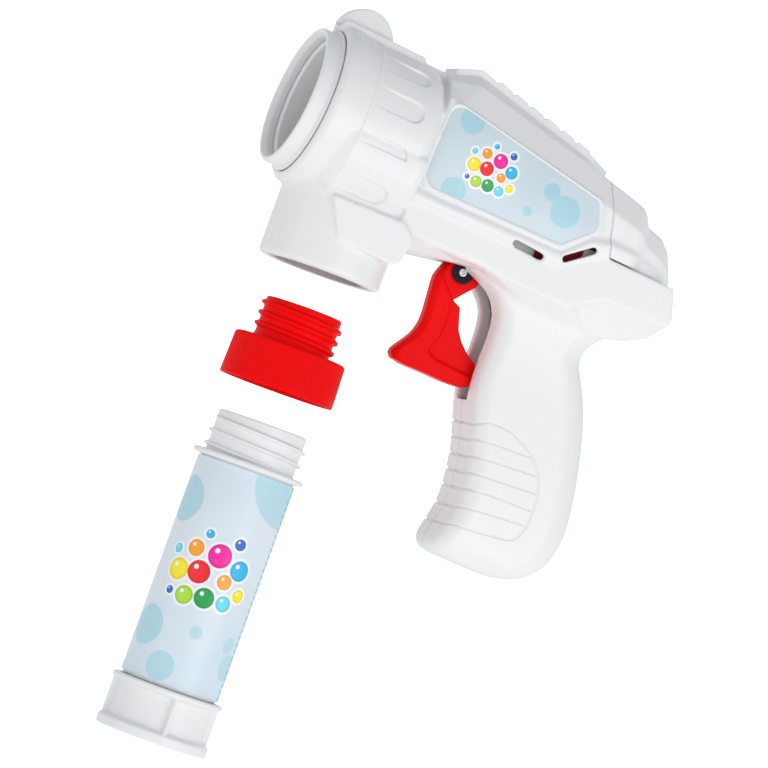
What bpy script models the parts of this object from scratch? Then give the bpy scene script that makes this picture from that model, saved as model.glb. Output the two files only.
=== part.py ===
"""Toy bubble machine: a pistol-shaped blower with a screw-in tube of bubble solution.

The gun lies level, nozzle towards -Y, its left side towards +X, up is +Z.  The
screw adapter and the solution tube stand apart below the socket, on one axis that
leans BOTTLE_TILT from the vertical.  Shapes are worked out in millimetres in the
gun frame, whose zero is where the barrel axis meets the bottle axis, and are
scaled to metres and shifted at the end so that the centre of the grip is the
world origin.
"""
import math

import bmesh
import bpy
from mathutils import Matrix, Vector

for _old in list(bpy.data.objects):
    bpy.data.objects.remove(_old, do_unlink=True)

# ---- driving dimensions, millimetres and degrees ---------------------------
GRIP_CENTRE = (0.0, 93.0, -85.0)   # gun-frame point that becomes the world origin
GAP = 0.3                          # between pieces that touch
WALL = 2.0                         # housing wall
BOTTLE_TILT = 3.5                  # bottle axis against the vertical
BARREL_R = 27.4
BARREL_BORE = 25.0
BARREL_FRONT = -22.8
BARREL_REAR = 17.6
RING_R = 24.2
RING_FRONT = -29.0
SOCKET_R = 21.4                    # outer radius of the bottle socket
SOCKET_BOTTOM = -51.0              # along the bottle axis
SEAM_TOP = (81.3, 16.1)            # seam in front of the rear cover, side view
SEAM_SLOPE = 0.3047
TRIGGER_PIVOT = (48.4, -31.1)
TRIGGER_HALF = 4.5
SLOT_HALF = 5.4
BATTERY_TILT = 12.0
BATTERY_MID = (91.5, -87.0)
BATTERY_R = 7.2
BATTERY_LENGTH = 50.0
ADAPTER_TOP = -63.9                # neck rim, along the bottle axis, drawn apart
ADAPTER_SHOULDER = -77.7
ADAPTER_BOTTOM = -92.9
BOTTLE_TOP = -104.7
BOTTLE_FLANGE = -120.0
BOTTLE_BOTTOM = -216.3
FOOT_RIB = -3.5                    # angle of the first upright rib on the foot
GEAR_CENTRES = 9.5
SCREWS = ((31.0, 23.0), (62.0, 19.4), (31.5, -25.6), (98.5, -24.0), (88.0, -41.0))

_T = math.radians(BOTTLE_TILT)
BOTTLE_UP = Vector((0.0, -math.sin(_T), math.cos(_T)))
BOTTLE_BACK = Vector((0.0, math.cos(_T), math.sin(_T)))


# ---- frames -----------------------------------------------------------------
def frame(origin, x_dir, y_dir, z_dir):
    m = Matrix.Identity(4)
    for col, d in enumerate((x_dir, y_dir, z_dir)):
        for row in range(3):
            m[row][col] = d[row]
    for row in range(3):
        m[row][3] = origin[row]
    return m


def along_y(x=0.0, z=0.0):
    """Local z runs to the rear."""
    return frame((x, 0, z), (1, 0, 0), (0, 0, -1), (0, 1, 0))


def along_x(y=0.0, z=0.0):
    """Local x runs to the rear, local y up, local z to the left side."""
    return frame((0, y, z), (0, 1, 0), (0, 0, 1), (1, 0, 0))


BOTTLE = frame((0, 0, 0), (1, 0, 0), BOTTLE_BACK, BOTTLE_UP)
SIDE = along_x()


# ---- solids -----------------------------------------------------------------
def solid(verts, faces, m=None):
    mesh = bpy.data.meshes.new("work")
    if m is not None:
        verts = [m @ Vector(v) for v in verts]
    mesh.from_pydata([tuple(v) for v in verts], [], faces)
    bm = bmesh.new()
    bm.from_mesh(mesh)
    bmesh.ops.recalc_face_normals(bm, faces=bm.faces)
    bm.to_mesh(mesh)
    bm.free()
    ob = bpy.data.objects.new("work", mesh)
    bpy.context.scene.collection.objects.link(ob)
    return ob


def revolve(profile, n, m):
    """Closed (radius, height) profile turned about local z."""
    verts, rings, faces = [], [], []
    for r, h in profile:
        if r < 1e-6:
            rings.append([len(verts)])
            verts.append((0, 0, h))
        else:
            rings.append(list(range(len(verts), len(verts) + n)))
            for i in range(n):
                a = 2 * math.pi * i / n
                verts.append((r * math.cos(a), r * math.sin(a), h))
    for k in range(len(profile)):
        a, b = rings[k], rings[(k + 1) % len(profile)]
        if len(a) == 1 and len(b) == 1:
            continue
        for i in range(n):
            j = (i + 1) % n
            if len(a) == 1:
                faces.append((a[0], b[j], b[i]))
            elif len(b) == 1:
                faces.append((a[i], a[j], b[0]))
            else:
                faces.append((a[i], a[j], b[j], b[i]))
    return solid(verts, faces, m)


def cylinder(r, h0, h1, m, n=24):
    return revolve([(0, h0), (r, h0), (r, h1), (0, h1)], n, m)


def tube(r_out, r_in, h0, h1, m, n=32):
    return revolve([(r_in, h0), (r_out, h0), (r_out, h1), (r_in, h1)], n, m)


def loft(loops):
    """Loops of equal length, closed with a flat cap at each end."""
    n = len(loops[0])
    verts = [tuple(p) for loop in loops for p in loop]
    faces = [tuple(range(n)), tuple(range((len(loops) - 1) * n, len(loops) * n))]
    for k in range(len(loops) - 1):
        for i in range(n):
            j = (i + 1) % n
            faces.append((k * n + i, k * n + j, (k + 1) * n + j, (k + 1) * n + i))
    return solid(verts, faces)


def prism(outline, h0, h1, m=SIDE):
    """Outline in the local xy plane, pushed along local z."""
    return loft([[m @ Vector((x, y, h)) for x, y in outline] for h in (h0, h1)])


def box(x0, x1, y0, y1, z0, z1):
    return prism([(y0, z0), (y1, z0), (y1, z1), (y0, z1)], x0, x1)


def rounded(points, radii, steps=4):
    """Polygon with each corner turned into an arc."""
    out = []
    n = len(points)
    for i in range(n):
        p = Vector(points[i])
        a = (Vector(points[i - 1]) - p).normalized()
        b = (Vector(points[(i + 1) % n]) - p).normalized()
        r = radii if isinstance(radii, (int, float)) else radii[i]
        half = a.angle(b) / 2
        if r < 1e-6 or half > 1.55:
            out.append(tuple(p))
            continue
        d = r / math.tan(half)
        c = p + (a + b).normalized() * (r / math.sin(half))
        s, e = p + a * d - c, p + b * d - c
        for k in range(steps + 1):
            t = k / steps
            v = s.slerp(e, t) if s.angle(e) > 1e-4 else s
            out.append(tuple(c + v.normalized() * r))
    return out


def sweep(path, r, n=8):
    """Round bar along a chain of points."""
    pts = [Vector(p) for p in path]
    loops = []
    ref = None
    for i, p in enumerate(pts):
        d = (pts[min(i + 1, len(pts) - 1)] - pts[max(i - 1, 0)]).normalized()
        if ref is None:
            ref = d.orthogonal().normalized()
        ref = (ref - d * ref.dot(d)).normalized()
        side = d.cross(ref)
        loops.append(
            [
                p + (ref * math.cos(2 * math.pi * k / n) + side * math.sin(2 * math.pi * k / n)) * r
                for k in range(n)
            ]
        )
    return loft(loops)


def smooth_path(points, steps=4):
    """Catmull-Rom chain through the points."""
    p = [Vector(q) for q in points]
    p = [2 * p[0] - p[1]] + p + [2 * p[-1] - p[-2]]
    out = []
    for i in range(1, len(p) - 2):
        for k in range(steps):
            t = k / steps
            out.append(
                0.5
                * (
                    2 * p[i]
                    + (p[i + 1] - p[i - 1]) * t
                    + (2 * p[i - 1] - 5 * p[i] + 4 * p[i + 1] - p[i + 2]) * t * t
                    + (3 * p[i] - p[i - 1] - 3 * p[i + 1] + p[i + 2]) * t**3
                )
            )
    out.append(p[-2])
    return out


def combine(a, others, how):
    """Boolean of a with each of the others, which are used up."""
    for b in others:
        mod = a.modifiers.new("cut", "BOOLEAN")
        mod.operation = how
        mod.solver = "EXACT"
        mod.object = b
        graph = bpy.context.evaluated_depsgraph_get()
        made = bpy.data.meshes.new_from_object(a.evaluated_get(graph))
        a.modifiers.clear()
        old = a.data
        a.data = made
        bpy.data.meshes.remove(old)
        bpy.data.objects.remove(b, do_unlink=True)
    bm = bmesh.new()
    bm.from_mesh(a.data)
    bmesh.ops.remove_doubles(bm, verts=bm.verts, dist=1e-3)
    bm.to_mesh(a.data)
    bm.free()
    return a


def join(a, *others):
    return combine(a, others, "UNION")


def cut(a, *others):
    return combine(a, others, "DIFFERENCE")


def keep(a, *others):
    return combine(a, others, "INTERSECT")


def cut_apart(a, cutters):
    """One difference with cutters that don't touch each other."""
    bm = bmesh.new()
    for c in cutters:
        bm.from_mesh(c.data)
        if c is not cutters[0]:
            bpy.data.objects.remove(c, do_unlink=True)
    bm.to_mesh(cutters[0].data)
    bm.free()
    return combine(a, [cutters[0]], "DIFFERENCE")


def copy(a):
    b = a.copy()
    b.data = a.data.copy()
    bpy.context.scene.collection.objects.link(b)
    return b


# ---- materials and finishing --------------------------------------------------
_materials = {}


def material(key, colour, rough, metal=0.0, alpha=1.0):
    mat = bpy.data.materials.new(key)
    mat.use_nodes = True
    bsdf = mat.node_tree.nodes["Principled BSDF"]
    bsdf.inputs["Base Color"].default_value = (*colour, 1.0)
    bsdf.inputs["Roughness"].default_value = rough
    bsdf.inputs["Metallic"].default_value = metal
    bsdf.inputs["Alpha"].default_value = alpha
    mat.diffuse_color = (*colour, 1.0)
    return mat


WHITE = ((0.83, 0.84, 0.85), 0.32)
RED = ((0.80, 0.012, 0.014), 0.28)
DARK = ((0.035, 0.036, 0.038), 0.45)
GREY = ((0.36, 0.37, 0.38), 0.45)
STEEL = ((0.62, 0.62, 0.63), 0.3, 1.0)
BRASS = ((0.72, 0.52, 0.22), 0.3, 1.0)
BLUE = ((0.62, 0.82, 0.90), 0.4)
CLEAR = ((0.80, 0.86, 0.88), 0.15)
BLACK = ((0.012, 0.012, 0.013), 0.5)
COPPER = ((0.75, 0.32, 0.16), 0.35, 1.0)


def finish(ob, name, look, pivot=None):
    """Name the solid, scale it to metres about the world origin, set its origin on its pivot."""
    shift = Vector(GRIP_CENTRE)
    home = Vector(pivot) - shift if pivot is not None else Vector((0, 0, 0))
    for v in ob.data.vertices:
        v.co = (v.co - shift - home) * 0.001
    ob.location = home * 0.001
    ob.name = name
    ob.data.name = name
    ob.data.materials.clear()
    ob.data.materials.append(material(name, *look))
    return ob


# ---- housing ------------------------------------------------------------------
def upper_half(y, inset=0.0):
    """Half section of the upper body at a station, from the top centre to the bottom centre."""
    rows = (
        # y, top, crease x, crease z, side x, shoulder z, recess z, band x, bottom z
        (16.0, 27.3, 13.0, 25.2, 21.0, 18.4, -13.0, 22.4, -19.6),
        (26.5, 31.2, 14.0, 27.4, 21.0, 17.0, -12.9, 22.4, -19.5),
        (72.2, 21.4, 14.4, 18.9, 21.0, 9.5, -11.7, 22.4, -19.3),
        (80.0, 18.4, 14.6, 17.1, 21.0, 8.2, -3.6, 22.4, -13.4),
        (87.6, 16.9, 14.2, 15.5, 20.6, 6.4, -1.4, 22.2, -7.5),
        (96.4, 15.0, 13.2, 13.4, 19.4, 4.8, -1.4, 20.8, -7.5),
        (98.4, 13.6, 12.8, 11.8, 18.4, 3.8, -1.6, 19.6, -7.5),
        (101.2, 9.4, 11.4, 8.2, 15.8, 1.8, -2.4, 16.4, -7.5),
        (107.6, 7.7, 10.8, 6.5, 15.0, -0.2, -3.4, 15.4, -7.5),
        (111.6, 4.4, 9.6, 3.0, 13.4, -2.2, -4.6, 13.8, -7.5),
        (115.4, -4.0, 8.4, -5.0, 11.2, -5.8, -6.2, 11.4, -7.5),
    )
    for a, b in zip(rows, rows[1:]):
        if y <= b[0] + 1e-6:
            break
    t = (y - a[0]) / (b[0] - a[0])
    _, top, cx, cz, sx, sz, rz, bx, zb = (p + (q - p) * t for p, q in zip(a, b))
    i = inset
    drop = 0.45 * (bx - sx) + 0.35
    return [
        (0.0, top - i),
        (7.4, top - i),
        (cx - 0.5 * i, cz - 0.95 * i),
        (sx - i, sz - 0.45 * i),
        (sx - i, rz + 0.2 * i),
        (bx - i, rz - drop * 2.0 + 0.2 * i),
        (bx - i, zb + 0.8 + 0.2 * i),
        (bx - 0.7 - i, zb + 0.3 * i),
        (0.0, zb + 0.3 * i),
    ]


UPPER_STATIONS = (16.0, 26.5, 72.2, 80.0, 87.6, 96.4, 98.4, 101.2, 107.6, 111.6, 115.4)


def upper_loop(y, inset=0.0, lift=0.0):
    half = upper_half(y, inset)
    ring = half + [(-x, z) for x, z in half[-2:0:-1]]
    low = min(z for _, z in ring)
    return [(x, y, z - lift if z < low + 1.2 else z) for x, z in ring]


def seam_y(z):
    return SEAM_TOP[0] + (SEAM_TOP[1] - z) * SEAM_SLOPE


def before_seam(shift):
    return prism([(-60, 60), (seam_y(60) + shift, 60), (seam_y(-60) + shift, -60), (-60, -60)], -60, 60)


def after_seam(shift):
    return prism([(seam_y(60) + shift, 60), (160, 60), (160, -60), (seam_y(-60) + shift, -60)], -60, 60)


CHASSIS_INNER = (
    (16.4, -17.0), (72.0, -17.0), (86.4, -6.0), (88.2, -7.9), (114.7, -8.0), (118.8, -19.2),
    (114.4, -26.6), (106.0, -31.2), (95.0, -34.0), (70.0, -34.2), (54.5, -31.0), (49.5, -28.9), (43.3, -29.8), (30.0, -32.4), (16.4, -34.2),
)
CHASSIS_OUTER = (
    (16.4, -17.0), (72.0, -17.0), (86.4, -6.0), (88.2, -7.9), (114.3, -8.0), (118.2, -18.4),
    (117.2, -21.5), (104.0, -21.6), (93.1, -21.7), (81.5, -29.5), (54.8, -29.2), (49.5, -28.4), (43.3, -28.4), (30.0, -28.8), (16.4, -28.2),
)
CHASSIS_INNER_CAVITY = (
    (20.6, -14.0), (72.0, -14.0), (84.0, -5.0), (87.8, -10.1), (113.1, -10.2), (116.4, -19.2),
    (112.8, -25.0), (105.2, -29.2), (94.5, -31.8), (70.0, -31.8), (54.5, -28.6), (49.5, -26.8), (43.3, -27.6), (30.0, -30.2), (20.6, -31.2),
)
CHASSIS_OUTER_CAVITY = (
    (20.6, -14.0), (72.0, -14.0), (84.0, -5.0), (87.8, -10.1), (112.8, -10.2), (115.8, -17.4),
    (115.0, -19.4), (104.0, -19.5), (92.2, -19.6), (80.7, -27.4), (54.8, -27.0), (49.5, -26.2), (43.3, -26.2), (30.0, -26.6), (20.6, -26.1),
)


def chassis(inner, outer, x_in, x_out):
    loops = []
    for x, row in ((-x_out, outer), (-x_in, inner), (x_in, inner), (x_out, outer)):
        loops.append([(x, y, z) for y, z in row])
    return loft(loops)


def grip_rows():
    """z, front y, rear y, half width of the grip."""
    return (
        (-30.0, 48.0, 104.4, 16.4),
        (-32.2, 54.2, 102.8, 16.2),
        (-34.4, 58.6, 101.0, 15.8),
        (-38.6, 62.4, 98.8, 15.2),
        (-43.6, 64.0, 99.2, 14.8),
        (-50.4, 64.7, 103.4, 14.5),
        (-58.0, 64.9, 107.4, 14.5),
        (-66.5, 66.0, 110.6, 14.7),
        (-75.8, 69.2, 113.4, 15.0),
        (-85.6, 72.8, 115.8, 15.3),
        (-97.0, 75.2, 117.6, 15.5),
        (-104.8, 75.5, 117.2, 15.4),
        (-111.8, 74.3, 115.0, 15.0),
        (-117.4, 73.3, 110.2, 13.8),
        (-120.4, 74.6, 104.0, 12.0),
        (-121.6, 77.4, 99.0, 9.6),
    )


def grip(inset, steps=3):
    loops = []
    rows = grip_rows()
    for k, (z, yf, yr, w) in enumerate(rows):
        zz = z
        if inset:
            if k == 0:
                zz = z + 4.0
            if z < -115:
                zz = z + inset * (0.35 if z > -119 else 0.8 if z > -121 else 1.0)
            slope_f = 0.35 * inset if -45 < z < -30 else 0.0
            yf, yr, w = yf + inset + slope_f, yr - inset, w - inset
        rf = min(6.5, w - 2.5)
        rr = min(11.0, w - 1.2)
        pts = rounded([(-w, yf), (w, yf), (w, yr), (-w, yr)], [rf, rf, rr, rr], steps)
        loops.append([(x, y, zz) for x, y in pts])
    return loft(loops)


def door_outline(grow=0.0):
    pts = [(72.8, -62.4), (101.2, -62.4), (109.4, -100.0), (106.0, -111.6), (80.8, -111.6), (79.6, -98.0)]
    c = Vector((sum(p[0] for p in pts) / 6, sum(p[1] for p in pts) / 6))
    out = []
    for p in rounded(pts, [2.5, 2.5, 8, 5, 2.5, 6], 3):
        d = Vector(p) - c
        out.append(tuple(c + d * (1 + grow / d.length)))
    return out


def housing():
    upper = loft([upper_loop(y) for y in UPPER_STATIONS])
    main = keep(copy(upper), before_seam(-0.15))
    low = chassis(CHASSIS_INNER, CHASSIS_OUTER, 15.5, 21.4)
    barrel = revolve(
        [
            (0, BARREL_FRONT), (27.2, BARREL_FRONT), (BARREL_R + 1.1, BARREL_FRONT + 1.6), (BARREL_R + 0.9, -18.0), (BARREL_R, -9.0),
            (BARREL_R, 11.5), (26.0, 14.2), (20.7, BARREL_REAR), (20.7, BARREL_REAR + 1.5), (0, BARREL_REAR + 1.5),
        ],
        48,
        along_y(),
    )
    rail = prism(
        [(-21.4, 20.0), (-21.4, 25.6), (-23.8, 25.6), (-23.8, 27.6), (-22.8, 28.4), (7.0, 28.3), (7.6, 27.5), (14.5, 27.5), (17.5, 27.4), (17.5, 20.0)], -6.2, 6.2
    )
    skirt_row = [(0, -4), (27.2, -4), (26.9, -10), (25.8, -16.5), (23.9, -22), (21.4, -25.6), (19.5, -26.4), (0, -26.4)]
    skirt_row = skirt_row + [(-x, z) for x, z in skirt_row[-2:0:-1]]
    skirt = loft(
        [
            [(x * 0.93, -11.6, z * 0.93) for x, z in skirt_row],
            [(x, -9.6, z) for x, z in skirt_row],
            [(x, 14.0, z) for x, z in skirt_row],
            [(x * 0.93, 16.6, z * 0.99) for x, z in skirt_row],
        ]
    )
    socket = cylinder(SOCKET_R, SOCKET_BOTTOM, -14.0, BOTTLE, 40)
    bracket = prism(
        [(-10.0, -18.0), (-10.0, -25.4), (-8.2, -27.8), (-2.0, -39.0), (-0.8, -39.8), (17.4, -40.4), (21.2, -39.4), (22.0, -34.4), (23.6, -30.0), (23.6, -18.0)],
        -21.7,
        21.7,
    )
    outer = join(barrel, main, low, grip(0.0), rail, skirt, socket, bracket)

    hollow = revolve(
        [
            (0, BARREL_FRONT - 3), (BARREL_BORE, BARREL_FRONT - 3), (BARREL_BORE, 11.0), (19.4, 15.4), (18.8, 16.0), (18.8, BARREL_REAR + 5),
            (0, BARREL_REAR + 5),
        ],
        48,
        along_y(),
    )
    inner_upper = loft([upper_loop(y, WALL) for y in (19.5, 26.5, 72.2, 80.0, 87.6, 95.0)])
    inner_low = chassis(CHASSIS_INNER_CAVITY, CHASSIS_OUTER_CAVITY, 14.6, 19.3)
    inner_socket = cylinder(SOCKET_R - WALL, SOCKET_BOTTOM + WALL, -12.0, BOTTLE, 40)
    inner_bracket = prism([(-4.0, -16.0), (-4.0, -32.0), (-0.6, -37.8), (19.2, -38.4), (21.4, -29.8), (21.4, -16.0)], -19.5, 19.5)
    hollow = join(hollow, inner_upper, inner_low, grip(WALL), inner_socket, inner_bracket)
    shell = cut(outer, hollow, cylinder(17.6, SOCKET_BOTTOM - 4, SOCKET_BOTTOM + 4, BOTTLE, 40))

    # cheeks that line both sides of the trigger slot
    front = [(44.0, -28.9), (50.4, -28.7), (53.6, -30.4), (56.8, -33.0), (60.2, -36.4), (62.6, -40.2), (64.2, -46.0), (64.7, -54.0), (65.0, -62.0), (66.0, -69.8)]
    back = [(71.4, -69.8), (70.2, -62.0), (69.6, -54.0), (69.0, -46.0), (66.6, -38.4), (62.4, -32.0), (56.6, -27.8), (50.6, -25.6), (44.0, -25.6)]
    cheeks = [prism([(y + 0.4, z + 0.3) for y, z in front] + back, a, b) for a, b in ((SLOT_HALF, SLOT_HALF + 1.8), (-SLOT_HALF - 1.8, -SLOT_HALF))]
    lug = cylinder(4.6, -SLOT_HALF - 1.8, -SLOT_HALF, along_x(*TRIGGER_PIVOT), 20)
    shell = join(shell, *cheeks, lug)

    # trigger slot through the floor and the front of the grip
    shell = cut(shell, prism([(39.0, -23.4), (39.0, -38.0), (58.0, -69.6), (68.6, -69.6), (74.0, -50.0), (66.0, -23.4)], -SLOT_HALF, SLOT_HALF))
    shell = cut(shell, cylinder(1.7, -12.0, 0.0, along_x(*TRIGGER_PIVOT), 16))

    # air slots in both sides
    slots = []
    for (y0, z0), (y1, z1) in (((56.1, -16.4), (66.0, -17.0)), ((74.2, -14.2), (82.4, -7.7))):
        d = Vector((y1 - y0, z1 - z0)).normalized() * 1.15
        n = Vector((-d.y, d.x))
        arc = [Vector((y1, z1)) + d * math.cos(a) + n * math.sin(a) for a in (-math.pi / 2, -math.pi / 4, 0, math.pi / 4, math.pi / 2)]
        arc += [Vector((y0, z0)) - d * math.cos(a) - n * math.sin(a) for a in (-math.pi / 2, -math.pi / 4, 0, math.pi / 4, math.pi / 2)]
        slots.append(prism([tuple(p) for p in arc], -30, 30))
    shell = cut(shell, *slots)

    # housing screw bosses, right half deep bored from outside, left half blind
    bosses = [revolve([(0, -20.0), (3.6, -20.0), (3.6, 20.0), (0, 20.0)], 16, along_x(y, z)) for y, z in SCREWS]
    for i, (y, z) in enumerate(SCREWS):
        trim = outer_trim(y)
        bosses[i] = keep(bosses[i], trim)
    shell = join(shell, *bosses)
    for y, z in SCREWS:
        shell = cut(shell, cylinder(2.9, -30.0, -8.0, along_x(y, z), 16), cylinder(1.5, -9.0, 9.0, along_x(y, z), 12))

    door = keep(copy(shell), prism(door_outline(-GAP), -20.0, -5.0))
    right = cut(keep(copy(shell), box(-60, -0.15, -60, 160, -140, 60)), prism(door_outline(0.0), -20.0, -5.0))
    left = keep(shell, box(0.15, 60, -60, 160, -140, 60))

    rear = keep(upper, after_seam(0.15))
    rear_hollow = loft([upper_loop(y, WALL, 6.0) for y in (80.0, 87.5, 96.0, 98.0, 101.0, 107.0, 109.4)])
    rear = cut(rear, rear_hollow)
    return left, right, rear, door


def outer_trim(y):
    """The space inside the outer skin, for trimming screw bosses."""
    body = loft([upper_loop(s, 0.6) for s in UPPER_STATIONS[:5]])
    low = chassis(
        tuple((a, b + 0.6 if b < -21 else b) for a, b in CHASSIS_INNER),
        tuple((a, b + 0.6 if b < -21 else b) for a, b in CHASSIS_OUTER),
        15.0,
        20.6,
    )
    return join(body, low, grip(0.6))


left_shell, right_shell, rear_cover, battery_door = housing()
finish(left_shell, "left_shell", WHITE)
finish(right_shell, "right_shell", WHITE)
finish(rear_cover, "rear_cover", WHITE)
finish(battery_door, "battery_door", WHITE)


# ---- top of the housing ---------------------------------------------------------
def spine():
    """Strip along the top with seven saw-tooth blocks."""
    slope = (31.2 - 21.4) / (72.2 - 26.5)

    def top(y):
        return 31.2 - (y - 26.5) * slope

    low = [(18.2, 28.45), (26.5, 31.55), (72.2, 21.75), (80.0, 18.75), (80.8, 18.6)]
    rise = [(80.8, 20.2), (73.0, top(73.0) + 2.0)]
    n = 6
    y0, y1 = 32.6, 73.0
    for k in range(n):
        b = y1 - (y1 - y0) * k / n
        a = y1 - (y1 - y0) * (k + 1) / n
        rise += [(b - 0.5, top(b) + 2.9), (a + 1.6, top(a) + 2.7), (a + 0.6, top(a) + 1.8)]
    rise += [(31.6, top(31.6) + 2.2), (26.5, 33.6), (18.2, 30.5)]
    return prism(low + rise, -7.0, 7.0)


finish(spine(), "spine_strip", WHITE)


def fin():
    """Half disc standing on the barrel rail."""
    c, r = (-14.6, 26.2), 10.3
    pts = [(c[0] + r * math.cos(math.radians(a)), c[1] + r * math.sin(math.radians(a))) for a in range(15, 166, 10)]
    return prism(pts, -3.0, 3.0)


finish(fin(), "top_fin", WHITE)


# ---- nozzle -----------------------------------------------------------------------
finish(
    revolve(
        [
            (22.9, RING_FRONT), (23.7, RING_FRONT), (RING_R, RING_FRONT + 0.6), (RING_R + 0.2, -22.4),
            (24.6, -22.0), (24.6, -12.0), (20.4, -12.0), (20.4, -24.6), (21.4, -26.4),
        ],
        48,
        along_y(),
    ),
    "nozzle_ring",
    WHITE,
)


def bubble_plate():
    plate = revolve([(1.7, -15.6), (20.0, -15.6), (20.0, -13.8), (1.7, -13.8)], 40, along_y())
    holes = []
    for k in range(12):
        a = 2 * math.pi * k / 12
        holes.append(cylinder(2.6, -17, -12, along_y(14.6 * math.cos(a), 14.6 * math.sin(a)), 8))
    for k in range(6):
        a = 2 * math.pi * (k + 0.5) / 6
        holes.append(cylinder(2.6, -17, -12, along_y(7.6 * math.cos(a), 7.6 * math.sin(a)), 8))
    return cut_apart(plate, holes)


finish(bubble_plate(), "bubble_plate", GREY)


def wiper():
    hub = tube(3.6, 1.5, -18.6, -16.2, along_y(), 20)
    arms = []
    for k in range(3):
        a = 2 * math.pi * k / 3 + 0.3
        d, n = Vector((math.cos(a), math.sin(a))), Vector((-math.sin(a), math.cos(a)))
        pts = [d * 3.0 - n * 0.9, d * 19.0 - n * 0.6, d * 19.0 + n * 0.6, d * 3.0 + n * 0.9]
        arms.append(prism([(p.x, p.y) for p in pts], -17.9, -16.5, along_y()))
    return join(hub, *arms)


finish(wiper(), "film_wiper", RED, (0, -17.0, 0))
finish(tube(19.2, 17.8, -11.4, 6.4, along_y(), 36), "air_duct", WHITE)


# ---- gear train and blower -------------------------------------------------------------
def gear(teeth, r_tip, r_root, bore, y0, y1, z=0.0):
    pts = []
    for k in range(teeth):
        a = 2 * math.pi * k / teeth
        w = 2 * math.pi / teeth
        for f, r in ((-0.32, r_root), (-0.16, r_tip), (0.16, r_tip), (0.32, r_root)):
            pts.append((r * math.cos(a + f * w), r * math.sin(a + f * w)))
    body = prism(pts, y0, y1, along_y(0, z))
    if bore:
        body = cut(body, cylinder(bore, y0 - 1, y1 + 1, along_y(0, z), 12))
    return body


Z_LAY = GEAR_CENTRES
finish(cylinder(1.2, -19.4, 32.6, along_y(), 12), "output_shaft", STEEL, (0, 0, 0))
finish(gear(26, 6.7, 5.9, 1.5, 29.0, 31.8), "output_gear", RED, (0, 30.4, 0))
lay = join(gear(26, 6.7, 5.9, 0, 33.4, 35.8, Z_LAY), gear(10, 2.6, 2.0, 0, 28.8, 33.6, Z_LAY))
finish(cut(lay, cylinder(1.3, 20, 40, along_y(0, Z_LAY), 12)), "lay_gear", WHITE, (0, 32.0, Z_LAY))
finish(cylinder(1.0, 26.0, 38.6, along_y(0, Z_LAY), 10), "lay_pin", STEEL)
finish(cylinder(1.1, 33.2, 79.0, along_y(), 12), "motor_shaft", STEEL, (0, 50.0, 0))
finish(gear(10, 2.55, 2.0, 1.4, 33.5, 36.0), "motor_pinion", BRASS, (0, 34.8, 0))


def gearbox():
    outline = rounded([(-17.0, -14.5), (17.0, -14.5), (17.0, 12.5), (12.0, 17.6), (-12.0, 17.6), (-17.0, 12.5)], 2.0, 2)
    outline = [(x, -z) for x, z in outline]
    front = prism(outline, 26.8, 28.4, along_y())
    rear = prism(outline, 36.4, 38.0, along_y())
    posts = [cylinder(1.8, 27.0, 37.5, along_y(x, z), 10) for x, z in ((-13.5, -11.5), (13.5, -11.5), (-11.5, 13.0), (11.5, 13.0))]
    body = join(front, rear, *posts)
    return cut(
        body,
        cylinder(1.6, 20, 40, along_y(), 12),
        cylinder(1.3, 20, 40, along_y(0, Z_LAY), 12),
    )


finish(gearbox(), "gearbox_frame", GREY)

can = revolve(
    [(1.5, 38.6), (4.0, 38.6), (4.0, 39.4), (8.6, 39.4), (10.0, 40.6), (10.0, 62.8), (9.0, 63.6), (4.0, 63.6), (4.0, 64.6), (1.5, 64.6)],
    32,
    along_y(),
)
finish(can, "motor_can", STEEL)
cradle = cut(
    prism([(42.0, -18.4), (61.0, -18.4), (61.0, -4.0), (42.0, -4.0)], -12.6, 12.6),
    cylinder(10.3, 30, 70, along_y(), 32),
)
finish(cradle, "motor_cradle", WHITE)


def fan_housing():
    half = [(0.0, 15.6), (4.0, 15.3), (9.0, 13.4), (13.6, 9.4), (17.2, 4.0), (17.2, -15.2), (15.6, -17.0)]
    outline = [(x, -z) for x, z in half + [(-x, z) for x, z in half[:0:-1]]]
    body = prism(outline, 66.2, 80.4, along_y())
    return cut(
        body,
        cylinder(13.7, 68.0, 82.0, along_y(), 32),
        cylinder(8.0, 60.0, 70.0, along_y(), 28),
    )


finish(fan_housing(), "fan_housing", RED)


def impeller():
    hub = tube(3.4, 1.4, 69.4, 79.0, along_y(), 20)
    back = tube(13.2, 3.0, 69.4, 70.8, along_y(), 36)
    blades = []
    for k in range(9):
        a = 2 * math.pi * k / 9
        b = a + 0.5
        p, q = Vector((3.0 * math.cos(a), 3.0 * math.sin(a))), Vector((13.0 * math.cos(b), 13.0 * math.sin(b)))
        n = Vector((-(q - p).y, (q - p).x)).normalized() * 0.6
        blades.append(prism([tuple(v) for v in (p - n, q - n, q + n, p + n)], 70.2, 78.4, along_y()))
    return join(back, hub, *blades)


finish(impeller(), "impeller", WHITE, (0, 74.0, 0))


# ---- pump -----------------------------------------------------------------------------------
def pump_rotor():
    pts = []
    for k in range(36):
        a = 2 * math.pi * k / 36
        pts.append(((6.6 + 1.5 * math.cos(3 * a)) * math.cos(a), (6.6 + 1.5 * math.cos(3 * a)) * math.sin(a)))
    return cut(prism(pts, 22.6, 25.8, along_y()), cylinder(1.5, 20, 28, along_y(), 12))


finish(pump_rotor(), "pump_rotor", RED, (0, 24.2, 0))


def arc(r, a0, a1, y, steps=14):
    return [
        (r * math.cos(math.radians(a0 + (a1 - a0) * k / steps)), y, r * math.sin(math.radians(a0 + (a1 - a0) * k / steps)))
        for k in range(steps + 1)
    ]


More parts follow.
